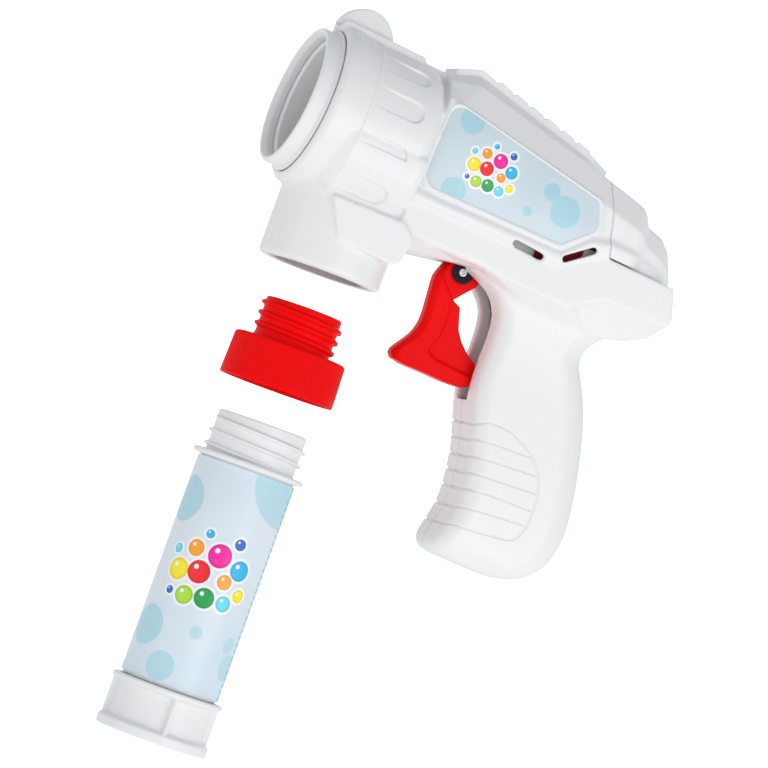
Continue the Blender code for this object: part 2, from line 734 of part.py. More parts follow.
def pump_housing():
    ring = tube(14.4, 12.2, 22.4, 26.4, along_y(), 36)
    return cut(ring, prism([(-9.5, 2.0), (9.5, 2.0), (9.5, 20.0), (-9.5, 20.0)], 20, 28, along_y()))


finish(pump_housing(), "pump_housing", GREY)
finish(sweep(arc(10.2, -118, 298, 24.4)[2:-2], 1.5), "pump_tube", CLEAR)


# ---- bottle socket ----------------------------------------------------------------------------
finish(
    revolve(
        [
            (15.4, -50.7), (17.2, -50.7), (17.2, -48.6), (19.0, -48.6), (19.0, -46.8), (17.2, -46.8), (17.2, -34.0), (2.0, -34.0),
            (2.0, -36.0), (15.4, -36.0), (15.4, -40.0), (14.7, -41.0), (15.4, -42.0), (15.4, -45.0), (14.7, -46.0), (15.4, -47.0),
        ],
        28,
        BOTTLE,
    ),
    "socket_insert",
    WHITE,
)
finish(
    revolve([(1.0, -41.0), (1.6, -41.0), (1.6, -33.6), (3.4, -33.6), (3.4, -32.2), (1.6, -32.2), (1.6, -28.6), (1.0, -28.6)], 16, BOTTLE),
    "suction_nipple",
    WHITE,
)
finish(
    sweep(
        smooth_path([(0, 1.8, -26.9), (0, 2.4, -23.9), (0, 6.0, -21.9), (0, 14.0, -21.6), (0, 20.5, -21.0), (0, 23.9, -18.6), (0, 24.4, -15.4)], 3), 1.4
    ),
    "feed_tube",
    CLEAR,
)
finish(
    sweep(smooth_path([(15.6, 24.4, 4.0), (15.2, 18.5, 4.2), (15.8, 14.0, 4.4), (18.6, 10.6, 5.2), (21.0, 7.6, 5.8), (21.2, 2.0, 5.8), (21.2, -9.5, 5.8)], 3), 1.2),
    "delivery_tube",
    CLEAR,
)
finish(revolve([(12.4, -37.15), (15.0, -37.15), (15.0, -36.3), (12.4, -36.3)], 24, BOTTLE), "socket_seal", DARK)


# ---- trigger -------------------------------------------------------------------------------------
PY, PZ = TRIGGER_PIVOT
PIVOT = (0.0, PY, PZ)


def trigger():
    front = [
        (45.4, -26.2), (42.8, -29.2), (40.8, -34.6), (40.8, -37.8), (41.5, -42.7), (42.2, -48.3), (42.2, -52.5), (40.9, -56.9),
        (38.2, -61.3), (36.8, -63.9), (36.8, -65.6), (38.0, -67.0),
    ]
    rest = [
        (42.0, -67.5), (51.0, -67.3), (58.4, -67.3), (63.6, -66.9), (66.0, -65.4),
        (68.4, -63.6), (68.4, -60.4), (65.0, -57.3), (61.6, -55.4), (58.0, -52.4), (55.5, -49.2), (54.1, -45.6), (52.9, -42.1), (49.4, -40.7),
        (55.1, -33.6), (55.4, -30.4), (53.4, -26.6), (50.6, -25.0), (46.6, -25.0),
    ]
    crown = [(y + 1.8, z + (0.5 if z < -60 else 0.0)) for y, z in front] + rest
    loops = []
    for x, row in ((-TRIGGER_HALF, crown), (-2.2, front + rest), (2.2, front + rest), (TRIGGER_HALF, crown)):
        loops.append([(x, y, z) for y, z in row])
    body = loft(loops)
    sides = [
        prism([(50.4, -43.8), (61.0, -43.8), (72.8, -57.8), (72.8, -62.6), (54.0, -61.6), (50.6, -60.2), (49.4, -57.2), (50.4, -50.2)], a, b)
        for a, b in ((3.2, 8.0), (-8.0, -3.2))
    ]
    body = cut(body, *sides)
    return cut(body, cylinder(3.0, -10, 10, along_x(PY, PZ), 24), cylinder(5.0, -1.8, 1.8, along_x(PY, PZ), 28))


finish(trigger(), "trigger", RED, PIVOT)
bush = revolve(
    [(1.7, -5.2), (3.9, -5.2), (3.9, -4.8), (2.7, -4.8), (2.7, 4.8), (3.9, 4.8), (3.9, 5.2), (1.7, 5.2)], 24, along_x(PY, PZ)
)
finish(bush, "trigger_bush", DARK)
pin = cylinder(1.4, -9.0, 5.3, along_x(PY, PZ), 16)
cross = [box(4.8, 8.0, PY - 0.95, PY + 0.95, PZ - 0.3, PZ + 0.3), box(4.8, 8.0, PY - 0.3, PY + 0.3, PZ - 0.95, PZ + 0.95)]
finish(cut(pin, *cross), "pivot_screw", WHITE)
coil = []
for k in range(2 * 12 + 1):
    a = 2 * math.pi * k / 12
    coil.append((-1.2 + 2.4 * k / 24, PY + 3.9 * math.cos(a), PZ + 3.9 * math.sin(a)))
finish(sweep(coil, 0.35, 6), "trigger_spring", STEEL)

LEVER_PIVOT = (0.0, 75.6, -46.0)
lever = prism([(74.9, -45.2), (76.3, -45.2), (76.3, -47.4), (70.9, -60.8), (69.6, -60.4), (74.9, -47.0)], -2.4, 2.4)
finish(lever, "switch_lever", STEEL, LEVER_PIVOT)
finish(prism(rounded([(78.2, -44.8), (86.6, -44.8), (86.6, -57.6), (78.2, -57.6)], 0.8, 2), -3.2, 3.2), "switch_body", BLACK)


# ---- batteries ---------------------------------------------------------------------------------------
_B = math.radians(BATTERY_TILT)
CELL_UP = Vector((0.0, -math.sin(_B), math.cos(_B)))
CELL_BACK = Vector((0.0, math.cos(_B), math.sin(_B)))
CELL_MID = Vector((0.0, *BATTERY_MID))
CELL_PITCH = 7.75


def cell_frame(side):
    return frame(CELL_MID + CELL_BACK * side * CELL_PITCH, (1, 0, 0), CELL_BACK, CELL_UP)


def cell(side, flip):
    h = BATTERY_LENGTH / 2
    s = -1 if flip else 1
    prof = [(0, -h * s), (BATTERY_R - 0.6, -h * s), (BATTERY_R, (-h + 0.6) * s), (BATTERY_R, (h - 2.0) * s), (BATTERY_R - 0.8, (h - 1.2) * s), (2.7, (h - 1.2) * s), (2.7, h * s), (0, h * s)]
    return revolve(prof, 28, cell_frame(side))


finish(cell(-1, False), "battery_front", BRASS)
finish(cell(1, True), "battery_rear", BRASS)
mid = frame(CELL_MID, (1, 0, 0), CELL_BACK, CELL_UP)
top_plate = prism([(-6.5, -14.4), (6.5, -14.4), (6.5, 14.4), (-6.5, 14.4)], BATTERY_LENGTH / 2 + 0.4, BATTERY_LENGTH / 2 + 1.0, mid)
finish(top_plate, "contact_plate_top", STEEL)
low_plate = prism([(-6.0, -13.6), (6.0, -13.6), (6.0, 13.0), (-6.0, 13.0)], -BATTERY_LENGTH / 2 - 1.6, -BATTERY_LENGTH / 2 - 1.0, mid)
finish(low_plate, "contact_plate_bottom", STEEL)


# ---- screws ---------------------------------------------------------------------------------------------
def screw(y, z, head_at, length):
    body = revolve([(0, head_at), (2.5, head_at), (2.5, head_at + 1.8), (1.2, head_at + 1.8), (1.2, head_at + length), (0, head_at + length + 0.8)], 16, along_x(y, z))
    return cut(
        body,
        box(head_at - 1, head_at + 1.0, y - 1.5, y + 1.5, z - 0.35, z + 0.35),
        box(head_at - 1, head_at + 1.0, y - 0.35, y + 0.35, z - 1.5, z + 1.5),
    )


for i, (y, z) in enumerate(SCREWS):
    finish(screw(y, z, -10.2, 15.0), "housing_screw_%d" % (i + 1), STEEL)


# ---- decals -----------------------------------------------------------------------------------------------
DECAL = rounded([(17.8, 18.0), (77.6, 8.1), (80.8, -0.8), (70.4, -10.3), (18.0, -11.0)], [4.0, 2.6, 2.6, 3.2, 5.0], 4)
finish(prism(DECAL, 21.3, 21.6), "decal_left", BLUE)
finish(prism(DECAL, -21.6, -21.3), "decal_right", BLUE)


# ---- adapter -----------------------------------------------------------------------------------------------------
def thread_steps(r, core, z_top, z_low, turns):
    """Ring ribs standing for the screw thread, from the top down."""
    out = []
    pitch = (z_top - z_low) / turns
    for k in range(turns):
        z = z_top - pitch * (k + 0.5)
        out += [(core, z + pitch * 0.42), (r, z + pitch * 0.16), (r, z - pitch * 0.16), (core, z - pitch * 0.42)]
    return out


adapter = revolve(
    [(11.6, ADAPTER_TOP), (13.2, ADAPTER_TOP)]
    + thread_steps(14.3, 13.2, ADAPTER_TOP - 1.0, ADAPTER_SHOULDER + 1.6, 3)
    + [
        (13.4, ADAPTER_SHOULDER), (18.4, ADAPTER_SHOULDER), (19.4, ADAPTER_SHOULDER - 0.8), (19.9, ADAPTER_BOTTOM + 0.5), (19.5, ADAPTER_BOTTOM),
        (17.4, ADAPTER_BOTTOM), (17.4, ADAPTER_SHOULDER - 2.0), (11.6, ADAPTER_SHOULDER - 2.0),
    ],
    36,
    BOTTLE,
)
finish(adapter, "adapter", RED, tuple(BOTTLE @ Vector((0, 0, ADAPTER_SHOULDER))))
finish(
    revolve([(12.4, -80.8), (16.9, -80.8), (16.9, -80.0), (12.4, -80.0)], 24, BOTTLE), "adapter_seal", DARK
)


# ---- tube of bubble solution ------------------------------------------------------------------------------------------
tube_body = revolve(
    [(14.0, BOTTLE_TOP), (15.4, BOTTLE_TOP)]
    + thread_steps(16.6, 15.5, BOTTLE_TOP - 1.4, BOTTLE_FLANGE + 3.4, 2)
    + [
        (15.5, BOTTLE_FLANGE + 1.4), (19.3, BOTTLE_FLANGE + 1.2), (19.3, BOTTLE_FLANGE - 0.6), (16.4, BOTTLE_FLANGE - 1.0), (16.4, -197.4),
        (15.4, -198.2), (15.4, -211.6), (0, -211.6), (0, -210.0), (14.0, -210.0),
    ],
    36,
    BOTTLE,
)
PIVOT_BOTTLE = tuple(BOTTLE @ Vector((0, 0, BOTTLE_FLANGE)))
finish(tube_body, "bottle_tube", WHITE, PIVOT_BOTTLE)
finish(tube(17.1, 16.7, -196.9, BOTTLE_FLANGE - 1.4, BOTTLE, 36), "bottle_label", BLUE, PIVOT_BOTTLE)
insert = revolve([(2.4, -108.0), (13.7, -108.0), (13.7, -106.0), (2.4, -106.0)], 32, BOTTLE)
finish(insert, "neck_plug", WHITE, PIVOT_BOTTLE)
finish(tube(2.1, 1.3, -208.0, -105.6, BOTTLE, 12), "dip_tube", CLEAR, PIVOT_BOTTLE)


def stand():
    body = revolve(
        [
            (15.7, -198.0), (19.2, -198.0), (19.2, -199.8), (16.6, -200.4), (16.6, -211.8), (19.3, -212.8), (19.3, BOTTLE_BOTTOM + 0.4), (18.9, BOTTLE_BOTTOM),
            (0, BOTTLE_BOTTOM), (0, -212.0), (15.7, -212.0),
        ],
        36,
        BOTTLE,
    )
    ribs = []
    for k in range(4):
        a = math.radians(FOOT_RIB + 90.0 * k)
        d, n = Vector((math.cos(a), math.sin(a))), Vector((-math.sin(a), math.cos(a))) * 0.6
        pts = [d * 16.2 - n, d * 18.9 - n, d * 18.9 + n, d * 16.2 + n]
        ribs.append(prism([(p.x, p.y) for p in pts], -213.4, -199.4, BOTTLE))
    return join(body, *ribs)


finish(stand(), "bottle_stand", WHITE, PIVOT_BOTTLE)
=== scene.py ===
"""Looks of the toy bubble machine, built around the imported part.

Shapes are worked out in millimetres in the gun frame (zero where the barrel axis
meets the bottle axis) and are scaled to metres about the grip centre at the end.
"""
import math

import bmesh
import bpy
import numpy as np
from mathutils import Matrix, Vector, kdtree


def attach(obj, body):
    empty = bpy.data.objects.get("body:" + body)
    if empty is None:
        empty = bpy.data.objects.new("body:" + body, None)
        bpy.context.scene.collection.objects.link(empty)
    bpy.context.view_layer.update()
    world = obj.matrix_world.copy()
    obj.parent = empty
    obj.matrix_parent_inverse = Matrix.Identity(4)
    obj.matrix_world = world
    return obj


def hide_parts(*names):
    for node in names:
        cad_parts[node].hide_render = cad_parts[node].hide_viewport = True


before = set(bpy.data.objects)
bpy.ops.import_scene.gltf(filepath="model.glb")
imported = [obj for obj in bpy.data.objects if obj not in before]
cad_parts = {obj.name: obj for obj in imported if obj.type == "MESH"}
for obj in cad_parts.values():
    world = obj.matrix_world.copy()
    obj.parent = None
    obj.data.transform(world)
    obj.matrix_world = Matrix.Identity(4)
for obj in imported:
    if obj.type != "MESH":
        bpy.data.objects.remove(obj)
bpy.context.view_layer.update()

GRIP_CENTRE = (0.0, 93.0, -85.0)
SHIFT = Vector(GRIP_CENTRE)
WALL = 2.0
BOTTLE_TILT = 3.5
BARREL_FRONT, BARREL_REAR = -22.8, 17.6
SOCKET_R, SOCKET_BOTTOM = 21.4, -51.0
SEAM_TOP, SEAM_SLOPE = (81.3, 16.1), 0.3047
PY, PZ = 48.4, -31.1
TRIGGER_HALF, SLOT_HALF = 4.5, 5.4
ADAPTER_TOP, ADAPTER_SHOULDER, ADAPTER_BOTTOM = -63.9, -77.7, -92.9
BOTTLE_TOP, BOTTLE_FLANGE, BOTTLE_BOTTOM = -104.7, -120.0, -216.3
SCREWS = ((31.0, 23.0), (62.0, 19.4), (31.5, -25.6), (98.5, -24.0), (88.0, -41.0))

_T = math.radians(BOTTLE_TILT)
BOTTLE_UP = Vector((0.0, -math.sin(_T), math.cos(_T)))
BOTTLE_BACK = Vector((0.0, math.cos(_T), math.sin(_T)))


# ---- frames -----------------------------------------------------------------
def axes(origin, x_dir, y_dir, z_dir):
    m = Matrix.Identity(4)
    for col, d in enumerate((x_dir, y_dir, z_dir)):
        for row in range(3):
            m[row][col] = d[row]
    for row in range(3):
        m[row][3] = origin[row]
    return m


def along_y(x=0.0, z=0.0):
    """Local z runs to the rear."""
    return axes((x, 0, z), (1, 0, 0), (0, 0, -1), (0, 1, 0))


def along_x(y=0.0, z=0.0):
    """Local x runs to the rear, local y up, local z to the left side."""
    return axes((0, y, z), (0, 1, 0), (0, 0, 1), (1, 0, 0))


BOTTLE = axes((0, 0, 0), (1, 0, 0), BOTTLE_BACK, BOTTLE_UP)
SIDE = along_x()


# ---- solids -----------------------------------------------------------------
def solid(verts, faces, m=None):
    mesh = bpy.data.meshes.new("work")
    if m is not None:
        verts = [m @ Vector(v) for v in verts]
    mesh.from_pydata([tuple(v) for v in verts], [], faces)
    bm = bmesh.new()
    bm.from_mesh(mesh)
    bmesh.ops.recalc_face_normals(bm, faces=bm.faces)
    bm.to_mesh(mesh)
    bm.free()
    ob = bpy.data.objects.new("work", mesh)
    bpy.context.scene.collection.objects.link(ob)
    return ob


def revolve(profile, n, m):
    """Closed (radius, height) profile turned about local z."""
    verts, rings, faces = [], [], []
    for r, h in profile:
        if r < 1e-6:
            rings.append([len(verts)])
            verts.append((0, 0, h))
        else:
            rings.append(list(range(len(verts), len(verts) + n)))
            for i in range(n):
                a = 2 * math.pi * i / n
                verts.append((r * math.cos(a), r * math.sin(a), h))
    for k in range(len(profile)):
        a, b = rings[k], rings[(k + 1) % len(profile)]
        if len(a) == 1 and len(b) == 1:
            continue
        for i in range(n):
            j = (i + 1) % n
            if len(a) == 1:
                faces.append((a[0], b[j], b[i]))
            elif len(b) == 1:
                faces.append((a[i], a[j], b[0]))
            else:
                faces.append((a[i], a[j], b[j], b[i]))
    return solid(verts, faces, m)


def cylinder(r, h0, h1, m, n=24):
    return revolve([(0, h0), (r, h0), (r, h1), (0, h1)], n, m)


def tube(r_out, r_in, h0, h1, m, n=32):
    return revolve([(r_in, h0), (r_out, h0), (r_out, h1), (r_in, h1)], n, m)


def loft(loops):
    """Loops of equal length, closed with a flat cap at each end."""
    n = len(loops[0])
    verts = [tuple(p) for loop in loops for p in loop]
    faces = [tuple(range(n)), tuple(range((len(loops) - 1) * n, len(loops) * n))]
    for k in range(len(loops) - 1):
        for i in range(n):
            j = (i + 1) % n
            faces.append((k * n + i, k * n + j, (k + 1) * n + j, (k + 1) * n + i))
    return solid(verts, faces)


def prism(outline, h0, h1, m=SIDE):
    """Outline in the local xy plane, pushed along local z."""
    return loft([[m @ Vector((x, y, h)) for x, y in outline] for h in (h0, h1)])


def box(x0, x1, y0, y1, z0, z1):
    return prism([(y0, z0), (y1, z0), (y1, z1), (y0, z1)], x0, x1)


def rounded(points, radii, steps=4):
    """Polygon with each corner turned into an arc."""
    out = []
    n = len(points)
    for i in range(n):
        p = Vector(points[i])
        a = (Vector(points[i - 1]) - p).normalized()
        b = (Vector(points[(i + 1) % n]) - p).normalized()
        r = radii if isinstance(radii, (int, float)) else radii[i]
        half = a.angle(b) / 2
        if r < 1e-6 or half > 1.55:
            out.append(tuple(p))
            continue
        d = r / math.tan(half)
        c = p + (a + b).normalized() * (r / math.sin(half))
        s, e = p + a * d - c, p + b * d - c
        for k in range(steps + 1):
            t = k / steps
            v = s.slerp(e, t) if s.angle(e) > 1e-4 else s
            out.append(tuple(c + v.normalized() * r))
    return out


def sweep(path, r, n=8):
    """Round bar along a chain of points."""
    pts = [Vector(p) for p in path]
    loops = []
    ref = None
    for i, p in enumerate(pts):
        d = (pts[min(i + 1, len(pts) - 1)] - pts[max(i - 1, 0)]).normalized()
        if ref is None:
            ref = d.orthogonal().normalized()
        ref = (ref - d * ref.dot(d)).normalized()
        side = d.cross(ref)
        loops.append(
            [
                p + (ref * math.cos(2 * math.pi * k / n) + side * math.sin(2 * math.pi * k / n)) * r
                for k in range(n)
            ]
        )
    return loft(loops)


def smooth_path(points, steps=4):
    """Catmull-Rom chain through the points."""
    p = [Vector(q) for q in points]
    p = [2 * p[0] - p[1]] + p + [2 * p[-1] - p[-2]]
    out = []
    for i in range(1, len(p) - 2):
        for k in range(steps):
            t = k / steps
            out.append(
                0.5
                * (
                    2 * p[i]
                    + (p[i + 1] - p[i - 1]) * t
                    + (2 * p[i - 1] - 5 * p[i] + 4 * p[i + 1] - p[i + 2]) * t * t
                    + (3 * p[i] - p[i - 1] - 3 * p[i + 1] + p[i + 2]) * t**3
                )
            )
    out.append(p[-2])
    return out



def combine(a, others, how):
    """Boolean of a with each of the others, which are used up."""
    for b in others:
        made = None
        for solver in ("MANIFOLD", "EXACT"):
            mod = a.modifiers.new("cut", "BOOLEAN")
            mod.operation = how
            mod.solver = solver
            mod.object = b
            graph = bpy.context.evaluated_depsgraph_get()
            made = bpy.data.meshes.new_from_object(a.evaluated_get(graph))
            a.modifiers.clear()
            same = len(made.polygons) == len(a.data.polygons)
            if len(made.polygons) and not (solver == "MANIFOLD" and same):
                break
        old = a.data
        a.data = made
        bpy.data.meshes.remove(old)
        bpy.data.objects.remove(b, do_unlink=True)
    return a


def join(a, *others):
    return combine(a, others, "UNION")


def cut(a, *others):
    return combine(a, others, "DIFFERENCE")


def keep(a, *others):
    return combine(a, others, "INTERSECT")


def copy(a):
    b = a.copy()
    b.data = a.data.copy()
    bpy.context.scene.collection.objects.link(b)
    return b


def round_fixed(points, radii, steps=5, closed=True):
    """Each corner turned into the same number of points, so that stations can be lofted."""
    out = []
    n = len(points)
    for i in range(n):
        p = Vector(points[i])
        r = radii if isinstance(radii, (int, float)) else radii[i]
        if not closed and i in (0, n - 1):
            out.append(tuple(p))
            continue
        a, b = Vector(points[i - 1]) - p, Vector(points[(i + 1) % n]) - p
        if r <= 0 or a.length < 1e-6 or b.length < 1e-6:
            out += [tuple(p)] * (1 if r <= 0 else steps + 1)
            continue
        half = max(0.15, a.angle(b) / 2)
        d = min(r / math.tan(half) if half < 1.56 else 0.02, 0.45 * a.length, 0.45 * b.length)
        d = max(d, 0.02)
        s, e = p + a.normalized() * d, p + b.normalized() * d
        for k in range(steps + 1):
            t = k / steps
            out.append(tuple(s * (1 - t) ** 2 + p * (2 * t * (1 - t)) + e * t * t))
    return out


def fine(points, step):
    """Closed chain with points no further apart than the step."""
    out = []
    for i in range(len(points)):
        a, b = Vector(points[i]), Vector(points[(i + 1) % len(points)])
        n = max(1, int(math.ceil((b - a).length / step)))
        out += [tuple(a + (b - a) * (k / n)) for k in range(n)]
    return out


def read(ob):
    co = np.empty(len(ob.data.vertices) * 3, np.float32)
    ob.data.vertices.foreach_get("co", co)
    return co.reshape(-1, 3).astype(np.float64)


def write(ob, co):
    ob.data.vertices.foreach_set("co", co.astype(np.float32).ravel())
    ob.data.update()


def edges(ob):
    e = np.empty(len(ob.data.edges) * 2, np.int32)
    ob.data.edges.foreach_get("vertices", e)
    return e.reshape(-1, 2)


def relax(ob, turns, weight=None, back=0.0, lam=0.5):
    """Pulls each vertex towards its neighbours' middle; back > 0 pushes out again, so flats stay put."""
    co, e = read(ob), edges(ob)
    n = len(co)
    count = np.maximum(np.bincount(e.ravel(), minlength=n), 1)[:, None]
    w = np.ones((n, 1)) if weight is None else weight[:, None]
    for k in range(turns):
        for f in (lam, -back) if back else (lam,):
            total = np.stack(
                [np.bincount(e[:, 0], co[e[:, 1], i], n) + np.bincount(e[:, 1], co[e[:, 0], i], n) for i in range(3)], 1
            )
            co = co + w * f * (total / count - co)
    write(ob, co)
    return ob


def soften(ob, voxel, turns=3, back=0.0):
    """Even fine skin over the solid, with its edges eased."""
    mod = ob.modifiers.new("skin", "REMESH")
    mod.mode = "VOXEL"
    mod.voxel_size = voxel * 1.0
    graph = bpy.context.evaluated_depsgraph_get()
    made = bpy.data.meshes.new_from_object(ob.evaluated_get(graph))
    ob.modifiers.clear()
    ob.data = made
    return relax(ob, turns, back=back)


def smooth01(t):
    t = np.clip(t, 0, 1)
    return t * t * (3 - 2 * t)


def to_chain(p, chain):
    """Distance in the plane from points to an open chain."""
    best = np.full(len(p), 1e9)
    for a, b in zip(chain, chain[1:]):
        a, b = np.array(a, float), np.array(b, float)
        d = b - a
        t = np.clip(((p - a) @ d) / (d @ d), 0, 1)
        best = np.minimum(best, np.linalg.norm(p - a - t[:, None] * d, axis=1))
    return best


def split_near(ob, near, times=1):
    """Splits the edges whose two ends are both near."""
    for _ in range(times):
        flags = near(read(ob))
        bm = bmesh.new()
        bm.from_mesh(ob.data)
        bm.verts.ensure_lookup_table()
        chosen = [e for e in bm.edges if flags[e.verts[0].index] and flags[e.verts[1].index]]
        bmesh.ops.subdivide_edges(bm, edges=chosen, cuts=1, use_grid_fill=True)
        bm.to_mesh(ob.data)
        bm.free()


def normals(ob):
    n = np.empty(len(ob.data.vertices) * 3, np.float32)
    ob.data.vertex_normals.foreach_get("vector", n)
    return n.reshape(-1, 3).astype(np.float64)


def lathe(profile, n, m, shape=None):
    """Closed (radius, height) profile turned about local z; shape moves the radius with the angle."""
    verts, faces, rings = [], [], []
    for r, h in profile:
        if r < 1e-6:
            rings.append([len(verts)])
            verts.append((0, 0, h))
            continue
        rings.append(list(range(len(verts), len(verts) + n)))
        for i in range(n):
            a = 2 * math.pi * i / n
            q = shape(a, r, h) if shape else r
            verts.append((q * math.cos(a), q * math.sin(a), h))
    for k in range(len(profile)):
        a, b = rings[k], rings[(k + 1) % len(profile)]
        if len(a) == 1 and len(b) == 1:
            continue
        for i in range(n):
            j = (i + 1) % n
            if len(a) == 1:
                faces.append((a[0], b[j], b[i]))
            elif len(b) == 1:
                faces.append((a[i], a[j], b[0]))
            else:
                faces.append((a[i], a[j], b[j], b[i]))
    return solid(verts, faces, m)


def done(ob, name, body, nodes, mat, angle=32):
    """Scale to metres about the grip centre, shade, paint, and hang on its body."""
    co = (read(ob) - np.array(GRIP_CENTRE)) * 0.001
    write(ob, co)
    ob.name = ob.data.name = name
    ob.data.materials.clear()
    ob.data.materials.append(mat)
    ob.data.shade_smooth()
    if angle:
        ob.data.set_sharp_from_angle(angle=math.radians(angle))
    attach(ob, body)
    if nodes:
        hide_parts(*nodes)
    return ob


# ---- materials ----------------------------------------------------------------
def tint(colour, k):
    return tuple(min(1.0, c * k) for c in colour)


def srgb(r, g, b):
    return tuple((c / 255 / 12.92 if c / 255 < 0.04045 else ((c / 255 + 0.055) / 1.055) ** 2.4) for c in (r, g, b))


class Nodes:
    """A material's node tree, with short calls for the nodes used here."""

    def __init__(self, name):
        self.mat = bpy.data.materials.new(name)
        self.mat.use_nodes = True
        self.tree = self.mat.node_tree
        self.bsdf = self.tree.nodes["Principled BSDF"]
        self.where = self.tree.nodes.new("ShaderNodeTexCoord").outputs["Object"]

    def new(self, kind, **fields):
        node = self.tree.nodes.new(kind)
        for k, v in fields.items():
            setattr(node, k, v)
        return node

    def put(self, value, socket):
        if isinstance(value, bpy.types.NodeSocket):
            self.tree.links.new(value, socket)
        elif isinstance(value, (tuple, list)) and socket.type == "RGBA":
            socket.default_value = (*value[:3], 1.0)
        else:
            socket.default_value = value

    def noise(self, scale, detail=3.0, vector=None, rough=0.5, distort=0.0):
        n = self.new("ShaderNodeTexNoise")
        n.inputs["Scale"].default_value = scale
        n.inputs["Detail"].default_value = detail
        n.inputs["Roughness"].default_value = rough
        n.inputs["Distortion"].default_value = distort
        self.put(vector or self.where, n.inputs["Vector"])
        return n.outputs["Fac"]

    def ramp(self, value, a, b, lo, hi, kind="LINEAR"):
        n = self.new("ShaderNodeMapRange", interpolation_type=kind)
        for name, v in (("From Min", a), ("From Max", b), ("To Min", lo), ("To Max", hi)):
            n.inputs[name].default_value = v
        self.put(value, n.inputs["Value"])
        return n.outputs["Result"]

    def mix(self, t, a, b):
        n = self.new("ShaderNodeMix", data_type="RGBA")
        self.put(t, n.inputs[0])
        self.put(a, n.inputs[6])
        self.put(b, n.inputs[7])
        return n.outputs[2]

    def maths(self, how, a, b=None):
        n = self.new("ShaderNodeMath", operation=how)
        self.put(a, n.inputs[0])
        if b is not None:
            self.put(b, n.inputs[1])
        return n.outputs[0]

    def bump(self, height, distance, strength=1.0, under=None):
        n = self.new("ShaderNodeBump")
        n.inputs["Distance"].default_value = distance
        n.inputs["Strength"].default_value = strength
        self.put(height, n.inputs["Height"])
        if under is not None:
            self.put(under, n.inputs["Normal"])
        return n.outputs["Normal"]

    def finish(self, colour, rough, normal, **fixed):
        self.put(colour, self.bsdf.inputs["Base Color"])
        self.put(rough, self.bsdf.inputs["Roughness"])
        if normal is not None:
            self.put(normal, self.bsdf.inputs["Normal"])
        for name, value in fixed.items():
            self.bsdf.inputs[name.replace("_", " ")].default_value = value
        return self.mat


def plastic(name, colour, rough, spread=0.04, grain=2.0e-5, cool=None, **fixed):
    """Moulded plastic: faint drift of colour, uneven gloss, a fine skin."""
    n = Nodes(name)
    drift = n.noise(38.0, 2.0)
    dust = n.noise(420.0, 4.0)
    base = n.mix(n.ramp(drift, 0.3, 0.7, 0.0, 1.0), tint(colour, 1 - spread), cool or tint(colour, 1 + spread))
    base = n.mix(n.ramp(dust, 0.3, 0.8, 0.0, 0.05), base, tint(colour, 0.96))
    gloss = n.ramp(n.noise(150.0, 4.0), 0.3, 0.7, rough * 0.86, rough * 1.16)
    skin = n.bump(n.noise(2600.0, 2.0), grain * 0.4, 0.5)
    skin = n.bump(n.noise(60.0, 1.0), grain * 5, 0.2, under=skin)
    return n.finish(base, gloss, skin, **fixed)


def metal(name, colour, rough, stretch=(1, 1, 1), **fixed):
    """Metal with drawn streaks and slight stains."""
    n = Nodes(name)
    m = n.new("ShaderNodeMapping")
    m.inputs["Scale"].default_value = stretch
    n.put(n.where, m.inputs["Vector"])
    streak = n.noise(900.0, 3.0, m.outputs["Vector"])
    stain = n.noise(140.0, 4.0)
    base = n.mix(n.ramp(stain, 0.35, 0.75, 0.0, 1.0), tint(colour, 1.06), tint(colour, 0.78))
    gloss = n.ramp(streak, 0.3, 0.7, rough * 0.75, rough * 1.35)
    return n.finish(base, gloss, n.bump(streak, 1.5e-5, 0.6), Metallic=1.0, **fixed)


WHITE = plastic("white_plastic", (0.85, 0.855, 0.86), 0.3, 0.015, cool=(0.825, 0.838, 0.85), IOR=1.5)
PLATE = plastic("mid_grey_plate", (0.25, 0.26, 0.275), 0.7, 0.05, Specular_IOR_Level=0.08)
# the socket insert is white plastic; its pale grey is painted shade for its place deep inside the socket
INSERT_PAINTED_SHADE = plastic("white_insert_painted_shade_grey", (0.46, 0.47, 0.48), 0.5, 0.04)
# inner pieces behind the thin shell get a faint emission glow: painted light standing in for the light that comes
# through the shell
CRADLE_PAINTED_GLOW = plastic("inner_grey_plastic_painted_glow", (0.42, 0.43, 0.44), 0.5, 0.05, Emission_Color=(0.42, 0.44, 0.46, 1.0), Emission_Strength=0.35)
# the dark red duct also gets a faint emission glow: painted light for the light that comes through the shell
RED_DUCT_PAINTED_GLOW = plastic("inner_dark_red_plastic_painted_glow", (0.22, 0.006, 0.008), 0.6, 0.06, Specular_IOR_Level=0.1, Emission_Color=(0.10, 0.003, 0.003, 1.0), Emission_Strength=0.15)
WHITE_SOFT = plastic("white_tube_plastic", (0.85, 0.856, 0.862), 0.4, 0.015, cool=(0.82, 0.835, 0.85), IOR=1.49, Subsurface_Weight=0.0)
RED = plastic("red_plastic", (0.85, 0.004, 0.005), 0.26, 0.04, IOR=1.5, Specular_IOR_Level=0.05)
RED_MATT = plastic("red_cap_plastic", (0.88, 0.004, 0.005), 0.42, 0.04, IOR=1.49, Specular_IOR_Level=0.05)
RED_DEEP = plastic("dark_red_plastic", (0.33, 0.012, 0.014), 0.4, 0.06)
GREY = plastic("grey_nylon", (0.20, 0.205, 0.21), 0.5, 0.06)
DARK = plastic("dark_grey_plastic", (0.05, 0.052, 0.056), 0.42, 0.1)
BLACK = plastic("black_plastic", (0.010, 0.010, 0.011), 0.45, 0.1, Specular_IOR_Level=0.12)
RUBBER = plastic("seal_rubber", (0.045, 0.046, 0.048), 0.65, 0.12, grain=5e-5)
SOFT = plastic("soft_clear_tube", (0.72, 0.78, 0.80), 0.25, 0.05)
STEEL = metal("steel", (0.62, 0.62, 0.64), 0.3, (1, 0.06, 1))
CASE = metal("motor_case", (0.55, 0.56, 0.58), 0.38, (1, 0.05, 1))
BRASS = metal("brass", (0.74, 0.53, 0.22), 0.3)


